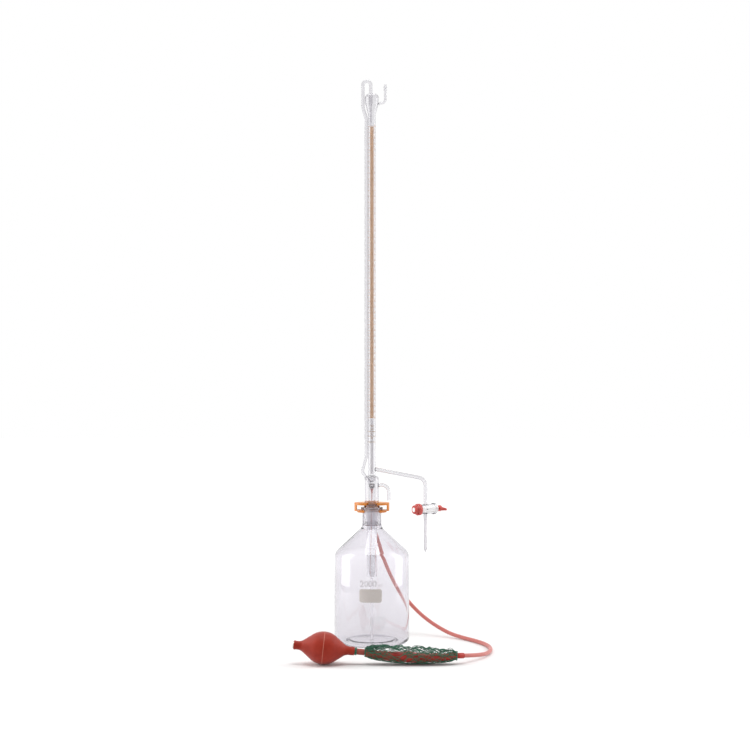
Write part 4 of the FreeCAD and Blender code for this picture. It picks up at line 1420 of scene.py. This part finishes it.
def bore_through(piece, radius, reach):
    """Drill a hole across a piece made about Z, along X."""
    drill = start_from(bpy.ops.mesh.primitive_cylinder_add, "drill", vertices=32,
                       radius=radius * MM, depth=2 * reach * MM, rotation=(0, math.radians(90), 0))
    bpy.ops.object.transform_apply(location=True, rotation=True, scale=True)
    cut = piece.modifiers.new("cross_bore", "BOOLEAN")
    cut.operation = "DIFFERENCE"
    cut.object = drill
    bpy.context.view_layer.objects.active = piece
    bpy.ops.object.modifier_apply(modifier=cut.name)
    bpy.data.objects.remove(drill)


bore_through(key, radius=1.2, reach=12)
seat(key, (PORT_X, 0, KEY_Z), KEY_AXIS)
white_ptfe = moulded_plastic("turned_white_ptfe", "F6F6F4", "FCFCFB", 0.5, 0.0, 6)
dress(key, white_ptfe, "key", "stopcock_key", slot="ptfe")

# %% [markdown]
# ## Handle, nut and seals
#
# The handle's wings lie level, which is the closed position. The nut has a gripped ring and a
# smaller cap, through which the key's white end shows.

# %% Soften the handle, nut and seals
red_plastic = moulded_plastic("red_polypropylene_moulded", "A81F17", "C93A2C", 0.35, 0.4, 10,
                              see_through=0.1)
for node, made, edge_mm, finish, body, slot in (
        ("key_handle", "moulded", 0.5, red_plastic, "key", "red_plastic"),
        ("retaining_nut", "moulded", 0.25, red_plastic, "nut", "red_plastic"),
        ("key_washer", "turned", 0.15, white_ptfe, "washer", "ptfe")):
    dress(softened(node, node + "_" + made, edge_mm), finish, body, node, slot=slot)
black_rubber = rubber("black_sealing_rubber", "141414", "1E1E1E", 0.45, 4, 0.4, 0.02)
finish_node(black_rubber, "key_oring")

# %% [markdown]
# ## Graduation
#
# The scale is burnt into the glass as an amber stain: a short line for each tenth of a
# millilitre, a longer one for each half, and a ring for each whole one, with a small number
# beside it. A pale amber strip on the back of the tube makes the lines easy to read. One line
# of each kind is cut from a thin ring round the tube and then copied up the scale.

# %% Burn in the lines
LINE_T = 0.36
SHORT_HALF = 31.5
MIDDLE_HALF = 68.0
STAIN_LIFT = 0.04
stain_r = TUBE_R + STAIN_LIFT


def stain(name, dark, light):
    """Amber stain or enamel fired into glass: no gloss of its own, slightly uneven in depth."""
    material, tree, shader = new_material(name, light, 0.5)
    two_shades(tree, shader, 2.5, dark, light, Detail=2.0)
    return material


def arc_band(name, height, half_deg, centre_deg=-90):
    """Part of a thin ring round the tube, up to half_deg to each side of a direction."""
    band = start_from(bpy.ops.mesh.primitive_cylinder_add, name, vertices=72,
                      radius=stain_r * MM, depth=height * MM, end_fill_type="NOTHING")
    centre = Vector((math.cos(math.radians(centre_deg)), math.sin(math.radians(centre_deg)), 0))
    bpy.ops.object.mode_set(mode="EDIT")
    bpy.ops.mesh.select_all(action="DESELECT")
    mesh = bmesh.from_edit_mesh(band.data)
    for face in mesh.faces:
        face.select = math.degrees(face.normal.angle(centre)) > half_deg
    bmesh.update_edit_mesh(band.data)
    bpy.ops.mesh.delete(type="FACE")
    end_edit()
    return band


def lift_to(piece, height):
    """Raise a piece's own mesh to a height in millimetres."""
    for vertex in piece.data.vertices:
        vertex.co.z += height * MM


def back_strip(name, low, high, half_deg):
    """Strip up the back of the tube, between two heights."""
    strip = arc_band(name, high - low, half_deg, centre_deg=90)
    lift_to(strip, (low + high) / 2)
    return strip


short_line = arc_band("scale_line", LINE_T, SHORT_HALF)
middle_line = arc_band("scale_line_half", LINE_T, MIDDLE_HALF)
whole_ring = arc_band("scale_ring", LINE_T, 180)
short_lines = copies_of(short_line, CAPACITY * 8)
middle_lines = copies_of(middle_line, CAPACITY)
whole_rings = copies_of(whole_ring, CAPACITY + 1)
next_short, next_middle, next_whole = iter(short_lines), iter(middle_lines), iter(whole_rings)
for tenth in range(CAPACITY * 10 + 1):
    kind = next_whole if tenth % 10 == 0 else next_middle if tenth % 5 == 0 else next_short
    lift_to(next(kind), ZERO_Z - tenth * ML_PITCH / 10)
lines = join(short_lines[0], short_lines[1:] + middle_lines + whole_rings)
lines.name = "scale_lines"
amber_stain = stain("amber_stain_lines", "A87242", "BA8452")
dress(lines, amber_stain, "burette")

# Below the scale the strip goes on without stain, as plain grey-white glass.
SCALE_FOOT = ZERO_Z - CAPACITY * ML_PITCH
amber_strip = back_strip("amber_back_strip", SCALE_FOOT - 0.75, ZERO_Z + 0.75, 30)
dress(amber_strip, stain("pale_amber_strip", "E6C6A6", "EED2B6"), "burette")
plain_strip = back_strip("grey_back_strip", JACKET_TOP + 3, SCALE_FOOT - 1.5, 26)
dress(plain_strip, stain("pale_grey_strip", "E4E2E5", "ECEAED"), "burette")

# %% [markdown]
# ## Numbers on the scale
#
# Each ring has its number, from 0 at the zero to 50 at the foot. The ten digits are set once as
# text, made a mesh, and copied. Each copy is laid round the tube, so it stays on the glass.

# %% Set the numbers
DIGIT_H = 2.7
DIGIT_STEP = 1.75
NUMBER_TURN = 47.0
CAPITAL_SHARE = 0.69


def flat_text(words, height, stroke=0.0):
    """Text as a mesh, its first character at the origin, or only its outlines, with a stroke."""
    bpy.ops.object.select_all(action="DESELECT")
    bpy.ops.object.text_add()
    text = bpy.context.object
    text.data.body = words
    text.data.size = height * MM / CAPITAL_SHARE
    text.data.resolution_u = 3 if stroke else 2
    if stroke:
        text.data.fill_mode = "NONE"
        text.data.bevel_depth = stroke * MM
        text.data.bevel_resolution = 0
    bpy.ops.object.convert(target="MESH")
    return bpy.context.object


def lay_round(piece, radius, turn_deg, height, shift=0.0):
    """Lay a flat mesh round an upright cylinder, at an angle from the front and a height."""
    for vertex in piece.data.vertices:
        turn = math.radians(turn_deg) + (vertex.co.x / MM + shift) / radius
        rise = vertex.co.y / MM + height
        vertex.co = Vector((radius * math.sin(turn), -radius * math.cos(turn), rise)) * MM


digit_shapes = [flat_text(str(value), DIGIT_H) for value in range(10)]
numbers = []
for value in range(CAPACITY + 1):
    for place, character in enumerate(str(value)):
        digit = copies_of(digit_shapes[int(character)], 2)[1]
        lay_round(digit, stain_r + 0.02, NUMBER_TURN, ZERO_Z - value * ML_PITCH + 0.5,
                  shift=place * DIGIT_STEP - 1.2)
        numbers.append(digit)
for shape in digit_shapes:
    bpy.data.objects.remove(shape)
scale_numbers = join(numbers[0], numbers[1:])
scale_numbers.name = "scale_numbers"
dress(scale_numbers, amber_stain, "burette")

# %% [markdown]
# ## Marks under the scale
#
# Below the last line the tube carries its capacity, the value of one division and a ring that
# closes the printed part. They are plain numbers and units.

# %% Print the marks
marks = []
for words, height, rise in (("50", 4.2, 392.0), ("ml", 3.6, 386.6),
                            ("0.1", 3.4, 378.4), ("20", 3.4, 370.6)):
    mark = flat_text(words, height)
    width = max(v.co.x for v in mark.data.vertices) / MM
    lay_round(mark, stain_r + 0.02, 0, rise, shift=-width / 2)
    marks.append(mark)
mark_rings = copies_of(arc_band("mark_ring", 0.5, 180), 3)
for ring, height in zip(mark_rings, (364.6, 375.4, 383.6)):
    lift_to(ring, height)
tube_marks = join(marks[0], marks[1:] + mark_rings)
tube_marks.name = "tube_marks"
dark_stain = stain("dark_amber_marks", "8E6530", "A87F45")
dress(tube_marks, dark_stain, "burette")

# %% [markdown]
# ## Enamel on the bottle
#
# The bottle carries a fired writing patch of grey-beige enamel, matt enough for a pencil, and
# its volume above it. Enamel lies on the glass as a skin a few hundredths of a millimetre thick.

# %% Fire the enamel patch
PATCH_LEFT, PATCH_RIGHT = -22.5, 18.1
PATCH_LOW, PATCH_HIGH = 82.8, 106.6
PATCH_ROUND = 4.0
PATCH_STEPS = 12
VOLUME_Z = 111.0
skin_r = BOTTLE_R + 0.06

patch = start_from(bpy.ops.mesh.primitive_plane_add, "enamel_patch", size=MM)
edit_all()
bpy.ops.transform.resize(value=(PATCH_RIGHT - PATCH_LEFT, PATCH_HIGH - PATCH_LOW, 1))
bpy.ops.mesh.bevel(offset=PATCH_ROUND * MM, segments=6, affect="VERTICES")
for i in range(1, PATCH_STEPS):
    cut_x = (-0.5 + i / PATCH_STEPS) * (PATCH_RIGHT - PATCH_LEFT) * MM
    bpy.ops.mesh.select_all(action="SELECT")
    bpy.ops.mesh.bisect(plane_co=(cut_x, 0, 0), plane_no=(1, 0, 0))
end_edit()
lay_round(patch, skin_r, 0, (PATCH_LOW + PATCH_HIGH) / 2, shift=(PATCH_LEFT + PATCH_RIGHT) / 2)


def fired_enamel(name, dark, light):
    """Glass enamel for pencil: opaque, matt, with a fine sandy grain."""
    material, tree, shader = new_material(name, light, 0.75)
    two_shades(tree, shader, 5, dark, light, Detail=3.0)
    fine_relief(tree, shader, 0.4, 2.0, 0.3, 0.03)
    return material


beige_enamel = fired_enamel("grey_beige_enamel", "CFC8C4", "DAD4D0")
dress(patch, beige_enamel, "bottle")

# The volume is written in outlines only, each a thin line of enamel pressed flat on the glass.
volume = flat_text("2000", 10.5, stroke=0.35)
lay_round(volume, skin_r, 0, VOLUME_Z, shift=PATCH_LEFT + 1)
for vertex in volume.data.vertices:
    flat = Vector((vertex.co.x, vertex.co.y, 0)).normalized() * skin_r * MM
    vertex.co = Vector((flat.x, flat.y, vertex.co.z))
unit = flat_text("ml", 5.5)
lay_round(unit, skin_r, 0, VOLUME_Z, shift=PATCH_LEFT + 34)
join(volume, [unit])
volume.name = "bottle_volume"
white_enamel = fired_enamel("pale_grey_enamel", "D4CFD2", "DEDADD")
dress(volume, white_enamel, "bottle")
